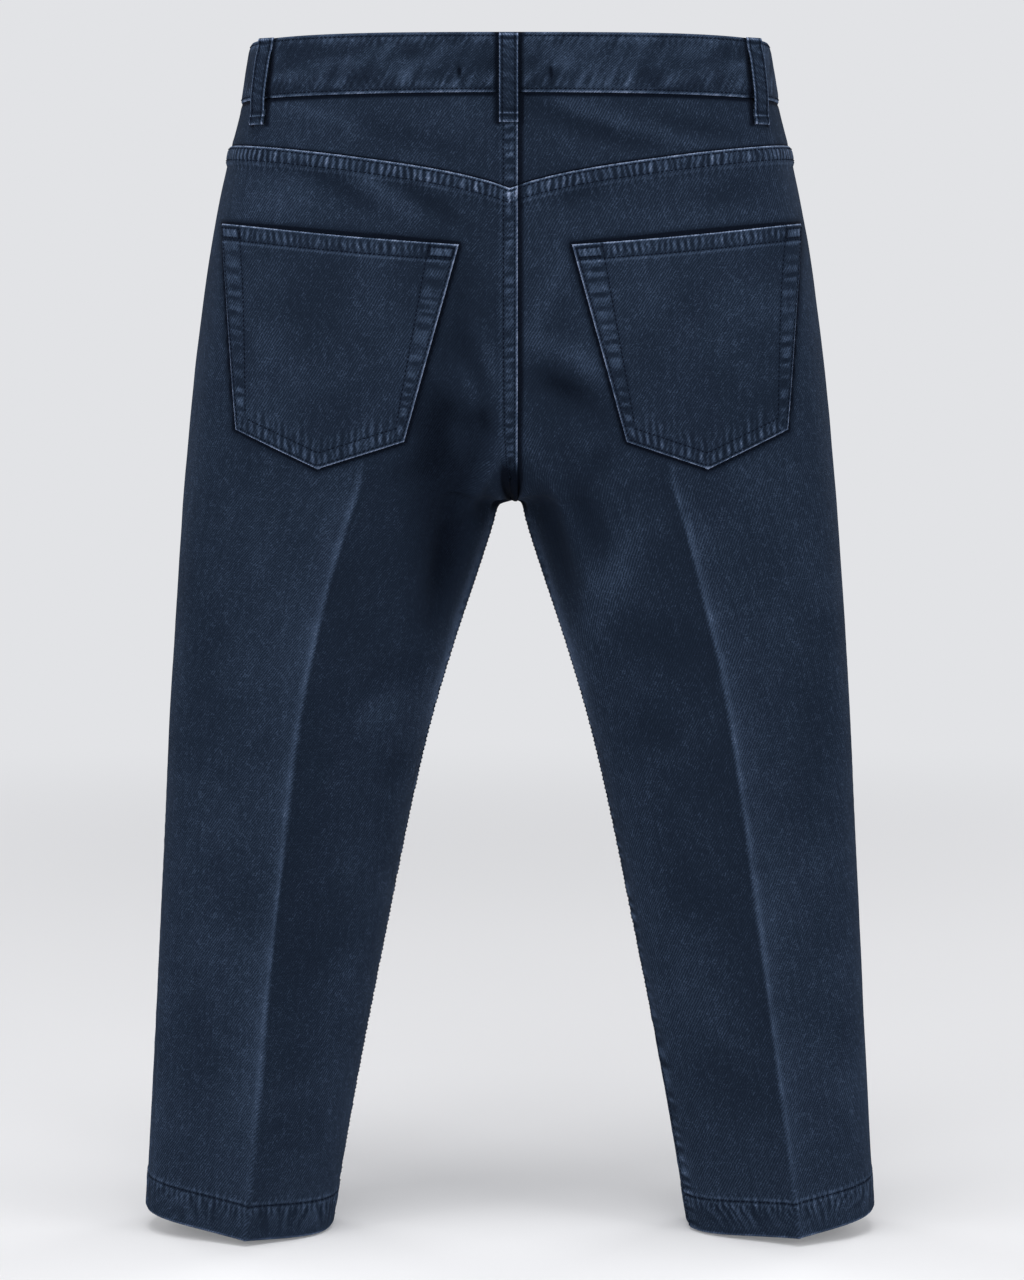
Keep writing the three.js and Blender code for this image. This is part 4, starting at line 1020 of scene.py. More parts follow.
def make_waistband(name, sewing, seed):
    """The whole waistband as one strip, from its right end round the back to its lapped left end."""
    quarter = 150
    start = float(place_at(-1, -1, -LAP_START, 0.0))
    end = float(place_at(-1, 1, LAP_END, 0.0))
    stops = [(-1, -1, start)] + [(-1, -1, s) for s in np.linspace(start, 2, 5)[1:-1]]
    for f, g, a, b in ((-1, 1, 2, 0), (1, 1, 0, 2), (1, -1, 2, 0), (-1, -1, 0, 2)):
        stops += [(f, g, a + (b - a) * k / quarter) for k in range(1, quarter + 1)]
    stops += [(-1, 1, s) for s in np.linspace(2, end, 26)[1:]]
    face, leg, place = np.array(stops).T

    def at(z, make):
        """Fills every column from its own face and leg."""
        out = np.zeros(z.shape + (3,))
        for f in (1, -1):
            for g in (1, -1):
                here = (face == f) & (leg == g)
                out[:, here] = make(f, g, np.broadcast_to(place[here], z[:, here].shape), z[:, here])
        return out

    middle = at(np.zeros((1, len(stops))), around)[0]
    top, bottom = waistband_top(middle), waistband_bottom(middle) + SEAM_GAP / 2
    deep = float(np.mean(top - bottom))
    steps = BAND_STEPS / deep
    share = np.concatenate([steps, np.linspace(steps[-1], 1 - steps[-1], 9)[1:-1], 1 - steps[::-1]])
    z = top[None, :] + (bottom - top)[None, :] * share[:, None]
    base, normal = at(z, around), at(z, outward)
    run = running(base)
    cloth = Cloth(name, 1, 1, base, normal, run, z.copy())
    early = np.arange(len(stops)) < len(stops) / 2
    ramp = 1 - smooth(middle[:, 0], LAP_END, LAP_END + LAP_RAMP)
    lap = np.where((face < 0) & early, WAISTBAND_LAP * ramp, 0)
    below, above = top[None, :] - z, z - bottom[None, :]
    cloth.below_top, cloth.above_hem = below, above
    cloth.from_start, cloth.from_end = run, run[:, -1:] - run
    depth = sewing.pucker_depth
    slow = ripple(run, 12.5, seed, 0.6)
    quick = 0.75 * ripple(run, 5.6, seed + 3, 0.8, 0.3 * below) * (0.6 + 0.4 * wander(run / 21.0, seed + 4))
    quick = quick + 0.5 * cloud(run, 0.4 * z, 4.4, seed + 13)
    fade = smooth(below, 2, 7) * smooth(above, 2, 7)
    height = WAISTBAND_PROUD + lap[None, :] + 0.3 * fade + 0.35 * cloud(0.5 * run, z, 14, seed) * fade
    near = smooth(above, 2.8, 4.5) * bell(above - 6, 9) + 0.45 * bell(below - 5.2, 3.2)
    rows = bell(below - 2.3, 0.75) + bell(above - 2.2, 0.75)
    height += depth * (0.22 * slow * fade + 0.4 * quick * near) - 0.38 * rows
    height += rounded(below, 0.9, 1.1) + rounded(above, 0.9, 1.0)
    height += rounded(np.minimum(cloth.from_start, cloth.from_end), 0.8, 1.2)
    wear = 0.2 * cloud(0.4 * run, z, 8, seed + 5) + 0.05 * slow * fade + 0.52 * quick * near
    # Painted shade along the rows of stitches; below, the belt loops' painted shadow.
    wear -= 0.04 + 0.05 * rows
    wear += 0.08 * cloud(run, 0.6 * z, 7, seed + 9) * fade - loop_shade(base)
    cloth.tug = 0.2 * smooth(above, 2.6, 4) * bell(above - 5, 8) + 0.2 * bell(below - 5.5, 3.5)
    rubbed = 0.7 + 0.3 * wander(run / 3.0, seed + 2)
    wear += rubbed * (0.9 * bell(above - 0.45, 0.8) + 0.5 * bell(below - 0.4, 0.9))
    wear += 0.3 * bell(below - 4.0, 1.2) * smooth(ripple(run, 5.4, seed + 7, 0.6), -0.1, 0.8)
    cloth.height, cloth.wear = height, wear
    return cloth.finish()


# ---- Belt loops, fly -------------------------------------------------------------------------------
def spline(points, count):
    """Points evenly along a smooth curve through the given ones."""
    points = np.array(points, dtype=float)
    run = np.concatenate([[0], np.cumsum(np.linalg.norm(np.diff(points, axis=0), axis=1))])
    fine = np.linspace(0, run[-1], count)
    columns = [Table("run at", *zip(run, points[:, k])).read("at", fine) for k in range(points.shape[1])]
    return np.stack(columns, axis=-1)


def make_loop(name, face, leg, top, bottom, stand, turn, seed):
    """A belt loop: a strip of folded tape along its path, its columns across the tape."""
    path = spline(LOOP_PATH, 84)
    height, out = path[:, 0], path[:, 1]
    out = np.where(out > 3.2, 3.2 + stand * (out - 3.2), out)
    x = top + (bottom - top) * np.clip((LOOP_TOP - height) / LOOP_DROP, 0, 1)
    place = place_at(face, leg, x, height)
    base = around(face, leg, place, height)
    normal = outward(face, leg, place_at(face, leg, x, 0 * x - 8), 0 * x - 8)
    normal[..., 2] = 0
    normal = unit(normal + np.array([0, face * turn, 0]))
    along = unit(np.stack([normal[:, 1], -normal[:, 0], 0 * x], axis=-1))
    across = np.array([0, 1.5, 3, 3.9, 4.6, 5.2, 5.7, 6])
    across = np.concatenate([-across[:0:-1], across])
    base = base[:, None, :] + along[:, None, :] * (across * LOOP_WIDTH / 12)[None, :, None]
    normal = np.broadcast_to(normal[:, None, :], base.shape).copy()
    run = np.concatenate([[0], np.cumsum(np.hypot(np.diff(height), np.diff(out)))])
    u = np.broadcast_to(across[None, :], base.shape[:2]).copy()
    v = np.broadcast_to(-run[:, None], base.shape[:2]).copy()
    cloth = Cloth(name, face, leg, base, normal, u, v)
    seen = (run > run[4]) & (run < run[-1] - 8)
    cloth.facing = np.broadcast_to(seen[:, None].astype(float), u.shape)
    gap = LOOP_WIDTH / 2 - np.abs(u)
    rope = ripple(run[:, None] + 0.4 * u, 6.2, seed, 0.5)
    relief = 0.16 * rope * bell(gap - 3.4, 1.8) - 0.5 * (1 - smooth(gap, 0, 0.9)) - 0.2 * bell(gap - 1.9, 0.5)
    # The rows of stitches are painted darker, as painted shade in their grooves.
    wear = 0.7 * bell(gap - 0.3, 0.5) - 0.4 * bell(gap - 1.9, 0.6) + 0.26 * rope * bell(gap - 3.4, 1.8) - 0.08
    level = path[:, 0][:, None]
    relief += 0.5 * (bell(level + 35, 2.4) + bell(level - 17, 2.0))
    # The folds at both ends rub pale, and the bar tacks beside them sink in, painted darker as painted shade:
    # strength, height and width.
    for strength, at, width in (
        (0.8, 17.9, 0.9), (0.8, -36.9, 0.8), (0.64, -31.4, 0.55), (0.4, 13.5, 0.6),
        (-0.6, -32.9, 0.8), (-0.36, -29.6, 1.0), (-0.3, 15.4, 0.8),
    ):
        wear += strength * bell(level - at, width)
    cloth.height, cloth.wear = out[:, None] + seen[:, None] * relief, wear
    return cloth.finish()


def make_fly(name, sewing, seed):
    """The lapped edge of the left front: straight at the middle, curved at its foot."""
    top = WAIST_TOP - WAISTBAND_DEPTH - SEAM_GAP
    share = 1 - (1 - np.linspace(0, 1, 84)) ** 1.5
    z = top + (FLY_BOTTOM - top) * share
    turn = np.clip((share - 0.68) / 0.32, 0, 1)
    width = (0.06 + 0.94 * np.sqrt(np.maximum(0, 1 - turn**2))) * FLY_WIDTH
    steps = crowded(FLY_WIDTH, np.array([0, 0.4, 1, 1.8, 2.8, 4]), 2.0)
    x = LAP_START + width[:, None] * steps[None, :]
    zz = np.broadcast_to(z[:, None], x.shape).copy()
    base = np.zeros(x.shape + (3,))
    normal = np.zeros(x.shape + (3,))
    for leg in (1, -1):
        here = (x >= 0) if leg > 0 else (x < 0)
        place = place_at(-1, leg, np.maximum(np.abs(x[here]), SEAM_GAP), zz[here])
        base[here] = around(-1, leg, place, zz[here])
        normal[here] = outward(-1, leg, place, zz[here])
    base[..., 0] = x
    cloth = Cloth(name, -1, 1, base, normal, x.copy(), zz.copy())
    from_left = x - LAP_START
    from_right = width[:, None] - from_left
    cloth.from_left, cloth.from_right, cloth.below_top = from_left, from_right, top - zz
    gap = np.minimum(np.minimum(from_left, from_right), (zz - FLY_BOTTOM) * 0.8)
    rope = ripple(zz, 9.0, seed, 0.5)
    height = 1.75 + rounded(gap, 1.0, 1.4) + 0.3 * sewing.pucker_depth * rope * bell(from_right - 6, 3.5)
    height += soften(cloth, 0.4, seed) - 0.3 * bell(from_right - 4.0, 0.8)
    wear = 0.5 * bell(from_left - 0.5, 0.8) + 0.3 * bell(from_right - 0.6, 0.9)
    # Painted shade along the row of stitches, and a painted shadow under the waistband.
    wear += 0.2 * rope * bell(from_right - 6, 3.5) - 0.3 * bell(from_right - 4.0, 0.8)
    wear -= 0.3 * bell(cloth.below_top, 1.2)
    cloth.height, cloth.wear = height, wear
    return cloth.finish()


# ---- Materials -------------------------------------------------------------------------------------
def linear(hex_colour):
    """An sRGB hex value as the linear colour that the shaders work in."""
    values = [int(hex_colour[i : i + 2], 16) / 255 for i in (1, 3, 5)]
    return tuple(v / 12.92 if v <= 0.04045 else ((v + 0.055) / 1.055) ** 2.4 for v in values) + (1.0,)


def add_node(tree, kind, links=None, **settings):
    """Adds a node with its settings, and fills its inputs with values or with other nodes' outputs."""
    node = tree.nodes.new("ShaderNode" + kind)
    for name, value in settings.items():
        setattr(node, name, value)
    for key, value in (links or {}).items():
        if isinstance(value, bpy.types.Node):
            value = value.outputs[0]
        if isinstance(value, bpy.types.NodeSocket):
            tree.links.new(value, node.inputs[key])
        else:
            node.inputs[key].default_value = value
    return node


def new_material(name):
    """An empty material, and the function that adds nodes to it."""
    material = bpy.data.materials.new(name)
    material.use_nodes = True
    material.node_tree.nodes.clear()
    return material, partial(add_node, material.node_tree)


def set_ramp(node, *stops):
    """Gives a colour ramp its stops; the first two are its ends."""
    for k, (position, colour) in enumerate(stops):
        stop = node.color_ramp.elements[k] if k < 2 else node.color_ramp.elements.new(position)
        stop.position, stop.color = position, linear(colour)


def dyed_twill(name, colours, shift=0.0):
    """Garment-dyed cotton twill: steep fine ribs, a mottled dye that wore off high edges, a dry look."""
    material, add = new_material(name)
    cut = add("UVMap", uv_map="cut")
    # The mesh's wear attribute holds the cloth's wear together with painted shade and painted highlights.
    wear = add("Attribute", attribute_name="wear").outputs["Fac"]
    # Ribs of a real twill lie 0.7 mm apart. They are drawn 1.6 mm apart, the finest that still shows.
    turned = add("Mapping", {0: cut, 2: (0.0, 0.0, math.radians(32))})
    ribs = add("TexWave", {
        0: turned, "Scale": wave_scale(1.6), "Distortion": 4.0, "Detail": 2.0, "Detail Scale": 0.45,
        "Detail Roughness": 0.6}, wave_type="BANDS", bands_direction="X")
    # Slubs and fibres of about 1.4 mm, dye blotches of 9 mm, and a broad uneven wash of 60 mm.
    fibre = add("TexNoise", {0: cut, "Scale": 720.0, "Detail": 3.0, "Roughness": 0.7})
    blotch = add("TexNoise", {0: cut, "Scale": 110.0, "Detail": 4.0, "Roughness": 0.62})
    wash = add("TexNoise", {0: cut, "Scale": 17.0, "Detail": 3.0, "Roughness": 0.55})
    # A rubbed edge is speckled: the ribs' crests lose their dye first.
    speckle = add("Math", {0: fibre, 1: 1.3, 2: 0.35}, operation="MULTIPLY_ADD")
    rubbed = add("Math", {0: wear, 1: speckle}, operation="MULTIPLY")
    # Fine crinkles of about 4 mm, set by washing.
    crinkle = add("TexNoise", {0: cut, "Scale": 230.0, "Detail": 2.0, "Distortion": 0.7})
    middle = add("Math", {0: crinkle, 1: 0.5, 2: 0.018}, operation="COMPARE")
    lines = add("Math", {0: middle, 1: 0.2, 2: rubbed}, operation="MULTIPLY_ADD")
    # Short upright puckers that the stitches pull into a seam, 4.3 mm apart. The mesh says how strong.
    tug = add("Attribute", attribute_name="tug").outputs["Fac"]
    strokes = add("TexWave", {
        0: cut, "Scale": wave_scale(4.3), "Distortion": 4.6, "Detail": 2.0, "Detail Scale": 1.1,
        "Detail Roughness": 0.6}, wave_type="BANDS", bands_direction="X")
    risen = add("Math", {0: strokes, 1: 0.46}, operation="SUBTRACT")
    pulled = add("Math", {0: risen, 1: tug}, operation="MULTIPLY")
    tone = add("Math", {0: pulled, 1: lines}, operation="ADD")
    # Faint upright streaks, where warp yarns took the dye differently.
    drawn = add("Mapping", {0: cut, 3: (1.0, 0.07, 1.0)})
    streak = add("TexNoise", {0: drawn, "Scale": 420.0, "Detail": 2.0})
    for source, weight in ((ribs, 0.25), (fibre, 0.08), (blotch, 0.2), (wash, 0.13), (streak, 0.2)):
        centred = add("Math", {0: source, 1: 0.5}, operation="SUBTRACT")
        tone = add("Math", {0: centred, 1: weight, 2: tone}, operation="MULTIPLY_ADD")
    placed = add("Math", {0: tone, 1: 0.5, 2: 0.398 + shift}, operation="MULTIPLY_ADD")
    dye = add("ValToRGB", {0: placed})
    set_ramp(
        dye, (0.0, colours.deep_navy), (1.0, colours.worn_edge), (0.4, colours.navy),
        (0.66, colours.washed_navy))
    woven = add("Math", {0: fibre, 1: 0.6, 2: ribs}, operation="MULTIPLY_ADD")
    relief = add("Math", {0: pulled, 1: 1.6, 2: woven}, operation="MULTIPLY_ADD")
    bump = add("Bump", {"Strength": 0.5, "Distance": 0.0003, "Height": relief})
    surface = add(
        "BsdfPrincipled", {"Base Color": dye, "Roughness": 0.95, "Specular IOR Level": 0.03, "Normal": bump})
    add("OutputMaterial", {"Surface": surface})
    return material


def wave_scale(pitch):
    """The Wave node's scale for bands that many millimetres apart."""
    return 2 * math.pi / (20 * pitch * MM)


def sewing_thread(name, colours):
    """Spun polyester thread dyed with the garment: a touch darker than the cloth, with a soft twist."""
    material, add = new_material(name)
    fuzz = add("TexNoise", {0: add("TexCoord").outputs["Object"], "Scale": 900.0, "Detail": 2.0})
    dye = add("ValToRGB", {0: fuzz})
    set_ramp(dye, (0.0, colours.deep_navy), (1.0, colours.thread))
    surface = add("BsdfPrincipled", {"Base Color": dye, "Roughness": 0.95, "Specular IOR Level": 0.04})
    add("OutputMaterial", {"Surface": surface})
    return material


def button_resin(name, colours):
    """Cast polyester resin, tumbled: dark navy with faint clouds and a dull shine."""
    material, add = new_material(name)
    clouds = add("TexNoise", {0: add("TexCoord").outputs["Object"], "Scale": 240.0, "Detail": 4.0})
    tint = add("ValToRGB", {0: clouds})
    set_ramp(tint, (0.3, colours.deep_navy), (0.75, colours.button))
    surface = add("BsdfPrincipled", {"Base Color": tint, "Roughness": 0.34, "IOR": 1.55})
    add("OutputMaterial", {"Surface": surface})
    return material


def studio_paper(name, studio):
    """Matt painted studio floor that fades into the room's light, so that no horizon shows."""
    material, add = new_material(name)
    place = add("TexCoord").outputs["Object"]
    away, middle = (
        add("VectorMath", {0: place, 1: (0.0, y, studio.floor_height)}, operation="DISTANCE").outputs["Value"]
        for y in (0.0, 0.3))
    ramp = partial(add, "MapRange", interpolation_type="SMOOTHSTEP")
    fade = ramp({0: away, 1: studio.fade_from, 2: studio.fade_to, 3: 0.1, 4: 1.0})
    # A painted pool of light: the paint is lightest in front of the hems and a little greyer round them and
    # further out.
    painted_falloff = ramp({0: middle, 1: 0.12, 2: 0.5})
    colours = {0: painted_falloff, 6: linear(studio.floor_colour), 7: linear(studio.floor_rim)}
    paper = add("BsdfDiffuse", {"Color": add("Mix", colours, data_type="RGBA").outputs[2]})
    # Painted light: near the middle the floor glows brighter than the room, which lifts the shadows under the
    # hems.
    lit = ramp({0: away, 1: 0.1, 2: studio.fade_from, 3: studio.floor_glow, 4: 1.0})
    glow = add("Emission", {"Color": linear(studio.room_colour), "Strength": lit})
    add("OutputMaterial", {"Surface": add("MixShader", {0: fade, 1: paper, 2: glow})})
    return material


def materials(context):
    """The four finishes, made when they are missing. The twills' keys are also the names of their slots."""
    finishes = {
        "twill": ("garment_dyed_cotton_twill", dyed_twill),
        # The doubled cloth is a copy of the twill placed a touch darker, as painted shade.
        "waist_twill": ("garment_dyed_cotton_twill_doubled", partial(dyed_twill, shift=-0.002)),
        "thread": ("dyed_spun_polyester_thread", sewing_thread),
        "resin": ("cast_polyester_resin", button_resin),
    }
    colours = context.scene.trousers_colours
    made = {}
    for key, (name, make) in finishes.items():
        made[key] = bpy.data.materials.get(name) or make(name, colours)
    return made


# ---- Properties ------------------------------------------------------------------------------------
def millimetres(name, text, default, low, high):
    """A length that is given in millimetres."""
    text += ", in millimetres"
    return bpy.props.FloatProperty(name=name, description=text, default=default, min=low, max=high)


def metres(name, text, default):
    """A length in Blender's own unit."""
    return bpy.props.FloatProperty(name=name, description=text, default=default, unit="LENGTH")


def ratio(name, text, default, high):
    """A plain number from 0 up."""
    return bpy.props.FloatProperty(name=name, description=text, default=default, min=0, max=high)


def paint(name, text, default):
    """A colour as its hex value."""
    return bpy.props.StringProperty(name=name, description=text + ", sRGB hex", default=default)


class TROUSERS_PG_sewing(bpy.types.PropertyGroup):
    cloth_thickness: millimetres("Cloth thickness", "Thickness of one layer of twill", 1.2, 0.5, 3)
    band_thickness: millimetres("Waistband thickness", "Thickness of the doubled waistband", 2.4, 1, 5)
    stitch_length: millimetres("Stitch length", "Visible length of one stitch", 1.9, 1, 6)
    stitch_gap: millimetres("Stitch gap", "Gap between two stitches", 1.1, 0.2, 3)
    thread_width: millimetres("Thread width", "Width of the sewing thread", 0.6, 0.2, 2)
    pucker_depth: millimetres("Pucker depth", "Height of the puckers along the seams", 0.55, 0, 2)
    crease_height: millimetres("Crease height", "How far the pressed crease stands out", 0.9, 0, 3)


class TROUSERS_PG_colours(bpy.types.PropertyGroup):
    navy: paint("Navy", "The cloth's main colour", "#1d2736")
    # Deep navy is also the colour that painted shade runs towards.
    deep_navy: paint("Deep navy", "Unworn hollows of the dye", "#0c121d")
    washed_navy: paint("Washed navy", "Lightly worn cloth", "#3f4e65")
    worn_edge: paint("Worn edge", "Edges rubbed pale", "#8d9bb8")
    thread: paint("Thread", "Stitching thread", "#0f1626")
    button: paint("Button", "Resin button", "#2a3342")


class TROUSERS_PG_studio(bpy.types.PropertyGroup):
    floor_height: metres("Floor height", "Height of the floor under the hems", -0.7785)
    fade_from: metres("Fade from", "Distance at which the floor starts to fade", 0.9)
    fade_to: metres("Fade to", "Distance at which the floor has faded", 2.6)
    floor_colour: paint("Floor colour", "Floor paint", "#f9f9fb")
    floor_rim: paint("Floor rim", "Floor paint further out", "#e5e5e7")
    room_colour: paint("Room colour", "Light of the room", "#e2e3e6")
    floor_glow: ratio("Floor glow", "How much brighter than the room the lit floor is", 1.75, 4)
    room_light: ratio("Room light", "Share of the room's brightness that falls on the cloth", 0.34, 1)


def finish_piece(context, cloth, node, kind, lines, rows_name=None, closed_off=0.0):
    """Makes a piece from the cloth and wall of its kind, with its rows of stitches, and hides the node it
    stands for.
    """
    sewing, made = context.scene.trousers_sewing, materials(context)
    slot = "waist_twill" if kind in ("waistband", "belt_loop") else "twill"
    wall = {"waistband": sewing.band_thickness, "belt_loop": LOOP_CLOTH}.get(kind, sewing.cloth_thickness)
    piece = ride(sew(cloth, wall, made[slot]), [node])
    if lines:
        rings = np.concatenate([row for line in lines for row in stitch_row(line, sewing, closed_off)])
        thread_mesh("stitches_" + (rows_name or cloth.name), rings, made["thread"])


class TROUSERS_OT_back_panels(bpy.types.Operator):
    """Cut and sew both back panels with their felled seams, hems and pressed creases"""

    bl_idname = "trousers.back_panels"
    bl_label = "Back panels"

    def execute(self, context):
        for word, leg in SIDES:
            cloth = make_panel(
                "back_" + word, 1, leg, lambda p: yoke_seam(p) + 1.0, FELL if leg > 0 else 0,
                context.scene.trousers_sewing, 40 + 3 * leg, 1.7)
            hem = cloth.above_hem > 1
            lines = [cloth.along_row(cloth.below_top, gap, cloth.from_side > 1.5) for gap in FELL_ROWS]
            lines.append(cloth.along_row(cloth.above_hem, HEM_ROW, hem))
            lines.append(cloth.along_column(cloth.from_inner, 2.0, (cloth.v < CROTCH - 6) & hem))
            if leg > 0:
                seat = (cloth.v > CROTCH + 12) & (cloth.below_top > 2.5)
                lines += [cloth.along_column(cloth.from_edge, gap, seat) for gap in FELL_ROWS]
            finish_piece(context, cloth, "back_panel_" + word, "back_panel", lines)
        return {"FINISHED"}


class TROUSERS_OT_front_panels(bpy.types.Operator):
    """Cut and sew both front panels with their hems and pressed creases"""

    bl_idname = "trousers.front_panels"
    bl_label = "Front panels"

    def execute(self, context):
        for word, leg in SIDES:
            sewing = context.scene.trousers_sewing
            cloth = make_panel("front_" + word, -1, leg, waistband_bottom, 0, sewing, 70 + 3 * leg, 2.6)
            lines = [cloth.along_row(cloth.above_hem, HEM_ROW, cloth.above_hem > 1)]
            if leg > 0:
                rise = (cloth.v > CROTCH + 6) & (cloth.v < FLY_BOTTOM - 2)
                lines.append(cloth.along_column(cloth.from_inner, 2.2, rise))
            finish_piece(context, cloth, "front_panel_" + word, "front_panel", lines)
        return {"FINISHED"}


class TROUSERS_OT_yokes(bpy.types.Operator):
    """Cut both halves of the back yoke, the left lapped over the right"""

    bl_idname = "trousers.yokes"
    bl_label = "Back yoke"

    def execute(self, context):
        for word, leg in SIDES:
            cloth = make_yoke(
                "yoke_" + word, leg, FELL if leg > 0 else 0, context.scene.trousers_sewing, 20 + 3 * leg)
            lines = []
            if leg > 0:
                lines = [cloth.along_column(cloth.from_edge, gap, cloth.above_hem > 0.5) for gap in FELL_ROWS]
            finish_piece(context, cloth, "back_yoke_" + word, "back_yoke", lines, "yoke")
        return {"FINISHED"}


class TROUSERS_OT_pockets(bpy.types.Operator):
    """Cut both patch pockets and sew them on with two rows of stitches and a boxed tack at each top corner"""

    bl_idname = "trousers.pockets"
    bl_label = "Back pockets"

    def execute(self, context):
        wide, high = POCKET_TACK
        for word, leg in SIDES:
            cloth = make_pocket("pocket_" + word, leg, context.scene.trousers_sewing, 100 + 5 * leg)
            top, bottom, inner, outer = cloth.to_top, cloth.to_bottom, cloth.to_inner, cloth.to_outer
            side = np.minimum(inner, outer)
            lines = []
            for key, field, other in (("inner", inner, outer), ("outer", outer, inner)):
                this_side = (top > 1.6) & (other > 40)
                lines.append(cloth.along_column(field, 2.0, this_side & (bottom > 2.0)))
                lines.append(cloth.along_column(
                    cloth.past_row[key], 0.0, (bottom > 9.8) & (top > 10.0) & (other > 40)))
                lines.append(cloth.along_column(field, wide, this_side & (top < high + 2)))
            for gap, inset in ((2.0, 2.0), (9.8, 6.8)):
                lines.append(cloth.along_row(bottom, gap, (top > 40) & (side > inset)))
            upper = (bottom > 40) & (side > 2.0)
            lines.append(cloth.along_row(top, 10.0, upper))
            for gap in (3.0, high):
                for half in (inner < 60, outer < 60):
                    lines.append(cloth.along_row(top, gap, upper & (side < wide) & half))
            finish_piece(context, cloth, "back_pocket_" + word, "back_pocket", lines)
        return {"FINISHED"}


class TROUSERS_OT_waistband(bpy.types.Operator):
    """Cut the waistband, lap its left end over its right end and sew it along both edges"""

    bl_idname = "trousers.waistband"
    bl_label = "Waistband"

    def execute(self, context):
        cloth = make_waistband("waistband_strip", context.scene.trousers_sewing, 5)
        open_ends = (cloth.from_start > 2) & (cloth.from_end > 32)
        upright = (cloth.below_top > 2.3) & (cloth.above_hem > 2.2)
        lines = [
            cloth.along_row(cloth.below_top, 2.3, open_ends),
            cloth.along_row(cloth.above_hem, 2.2, open_ends),
            cloth.along_column(cloth.from_start, 2.2, upright),
        ]
        x, y = cloth.base[..., 0], cloth.base[..., 1]
        for at in TACKS:
            lines.append(cloth.along_column(x, at, (y > 0) & (np.abs(cloth.v + 6) < 4)))
            cloth.wear -= 1.6 * bell(x - at, 1.1) * bell(cloth.v + 6, 3) * (y > 0)
        finish_piece(context, cloth, "waistband", "waistband", lines, "waistband")
        return {"FINISHED"}


class TROUSERS_OT_belt_loops(bpy.types.Operator):
    """Fold five belt loops from tape and sew them over the waistband"""

    bl_idname = "trousers.belt_loops"
    bl_label = "Belt loops"

    def execute(self, context):
        for k, (node, *place) in enumerate(BELT_LOOPS):
            name = node.replace("belt_loop", "loop")
            cloth = make_loop(name, *place, 200 + 7 * k)
            lines = [cloth.along_column(cloth.u, line, cloth.facing > 0) for line in (-4.1, 4.1)]
            finish_piece(context, cloth, node, "belt_loop", lines, closed_off=1.0)
        return {"FINISHED"}


class TROUSERS_OT_fly(bpy.types.Operator):
    """Cut the lapped fly and sew its curved row"""

    bl_idname = "trousers.fly"
    bl_label = "Fly"

    def execute(self, context):
        cloth = make_fly("fly_lap", context.scene.trousers_sewing, 301)
        lines = [
            cloth.along_column(cloth.from_right, 4.0, cloth.from_left > 3),
            cloth.along_column(cloth.from_left, 1.8, cloth.from_right > 3),
        ]
        finish_piece(context, cloth, "fly", "fly", lines, "fly")
        return {"FINISHED"}


class TROUSERS_OT_button(bpy.types.Operator):
    """Turn a four-hole resin button with a raised rim, and sew it on"""

    bl_idname = "trousers.button"
    bl_label = "Waist button"

    def execute(self, context):
        made = materials(context)
        low, high = (Vector(c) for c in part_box("waist_button"))
        centre = (low + high) / 2
        radius, thick = BUTTON_RADIUS * MM, BUTTON_THICKNESS * MM
        bpy.ops.object.select_all(action="DESELECT")
        bpy.ops.mesh.primitive_cylinder_add(
            vertices=48, radius=radius, depth=thick, location=centre, rotation=FACING_FRONT)
        button = context.object
        button.name = "waist_button_resin"
        bpy.ops.object.transform_apply(location=True, rotation=True, scale=True)
        bpy.ops.object.mode_set(mode="EDIT")
        bpy.ops.mesh.select_mode(type="FACE")
        bpy.ops.mesh.select_all(action="DESELECT")
        bpy.ops.object.mode_set(mode="OBJECT")
        for face in button.data.polygons:
            face.select = face.normal.y < -0.9
        bpy.ops.object.mode_set(mode="EDIT")
        bpy.ops.mesh.inset(thickness=BUTTON_RIM * MM)
        bpy.ops.mesh.inset(thickness=BUTTON_HOLLOW * MM)
        bpy.ops.transform.translate(value=(0, BUTTON_HOLLOW * MM, 0))
        bpy.ops.object.mode_set(mode="OBJECT")
        soft = button.modifiers.new("tumbled", "BEVEL")
        soft.width, soft.segments, soft.limit_method = 0.35 * MM, 3, "ANGLE"
        bpy.ops.object.modifier_apply(modifier=soft.name)
        out, hole_radius = BUTTON_HOLE
        for dx, dz in ((1, 1), (1, -1), (-1, 1), (-1, -1)):
            at = centre + Vector((dx * out * MM, 0, dz * out * MM))
            bpy.ops.mesh.primitive_cylinder_add(
                vertices=16, radius=hole_radius * MM, depth=3 * thick, location=at, rotation=FACING_FRONT)
            drill = context.object
            hole = button.modifiers.new("hole", "BOOLEAN")
            hole.operation, hole.object, hole.solver = "DIFFERENCE", drill, "EXACT"
            bpy.context.view_layer.objects.active = button
            bpy.ops.object.modifier_apply(modifier=hole.name)
            bpy.data.objects.remove(drill, do_unlink=True)
        if len(button.data.polygons) < 200:
            raise RuntimeError("the rim or the holes of the button were not cut")
        bpy.ops.object.select_all(action="DESELECT")
        button.select_set(True)
        bpy.ops.object.shade_smooth_by_angle(angle=math.radians(35))
        button.data.materials.append(made["resin"])
        ride(button, ["waist_button"])
        # Two bars of two threads cross the holes.
        x = np.linspace(-out, out, 7)
        rise = 0.55 * (1 - (x / out) ** 2) - 0.4
        up, across = np.array([0, -0.3, 0]), np.array([0, 0, 0.3])
        rings = []
        for z in (1.22, 1.78, -1.78, -1.22):
            line = np.stack([centre.x / MM + x, low.y / MM + 1.35 - rise, 0 * x + centre.z / MM + z], axis=-1)
            for k in (0, 2, 4):
                at = line[k : k + 3]
                rings.append(np.stack([at + up, at + across, at - up, at - across], axis=1))
        thread = thread_mesh("button_thread", np.array(rings), made["thread"])
        return {"FINISHED"}


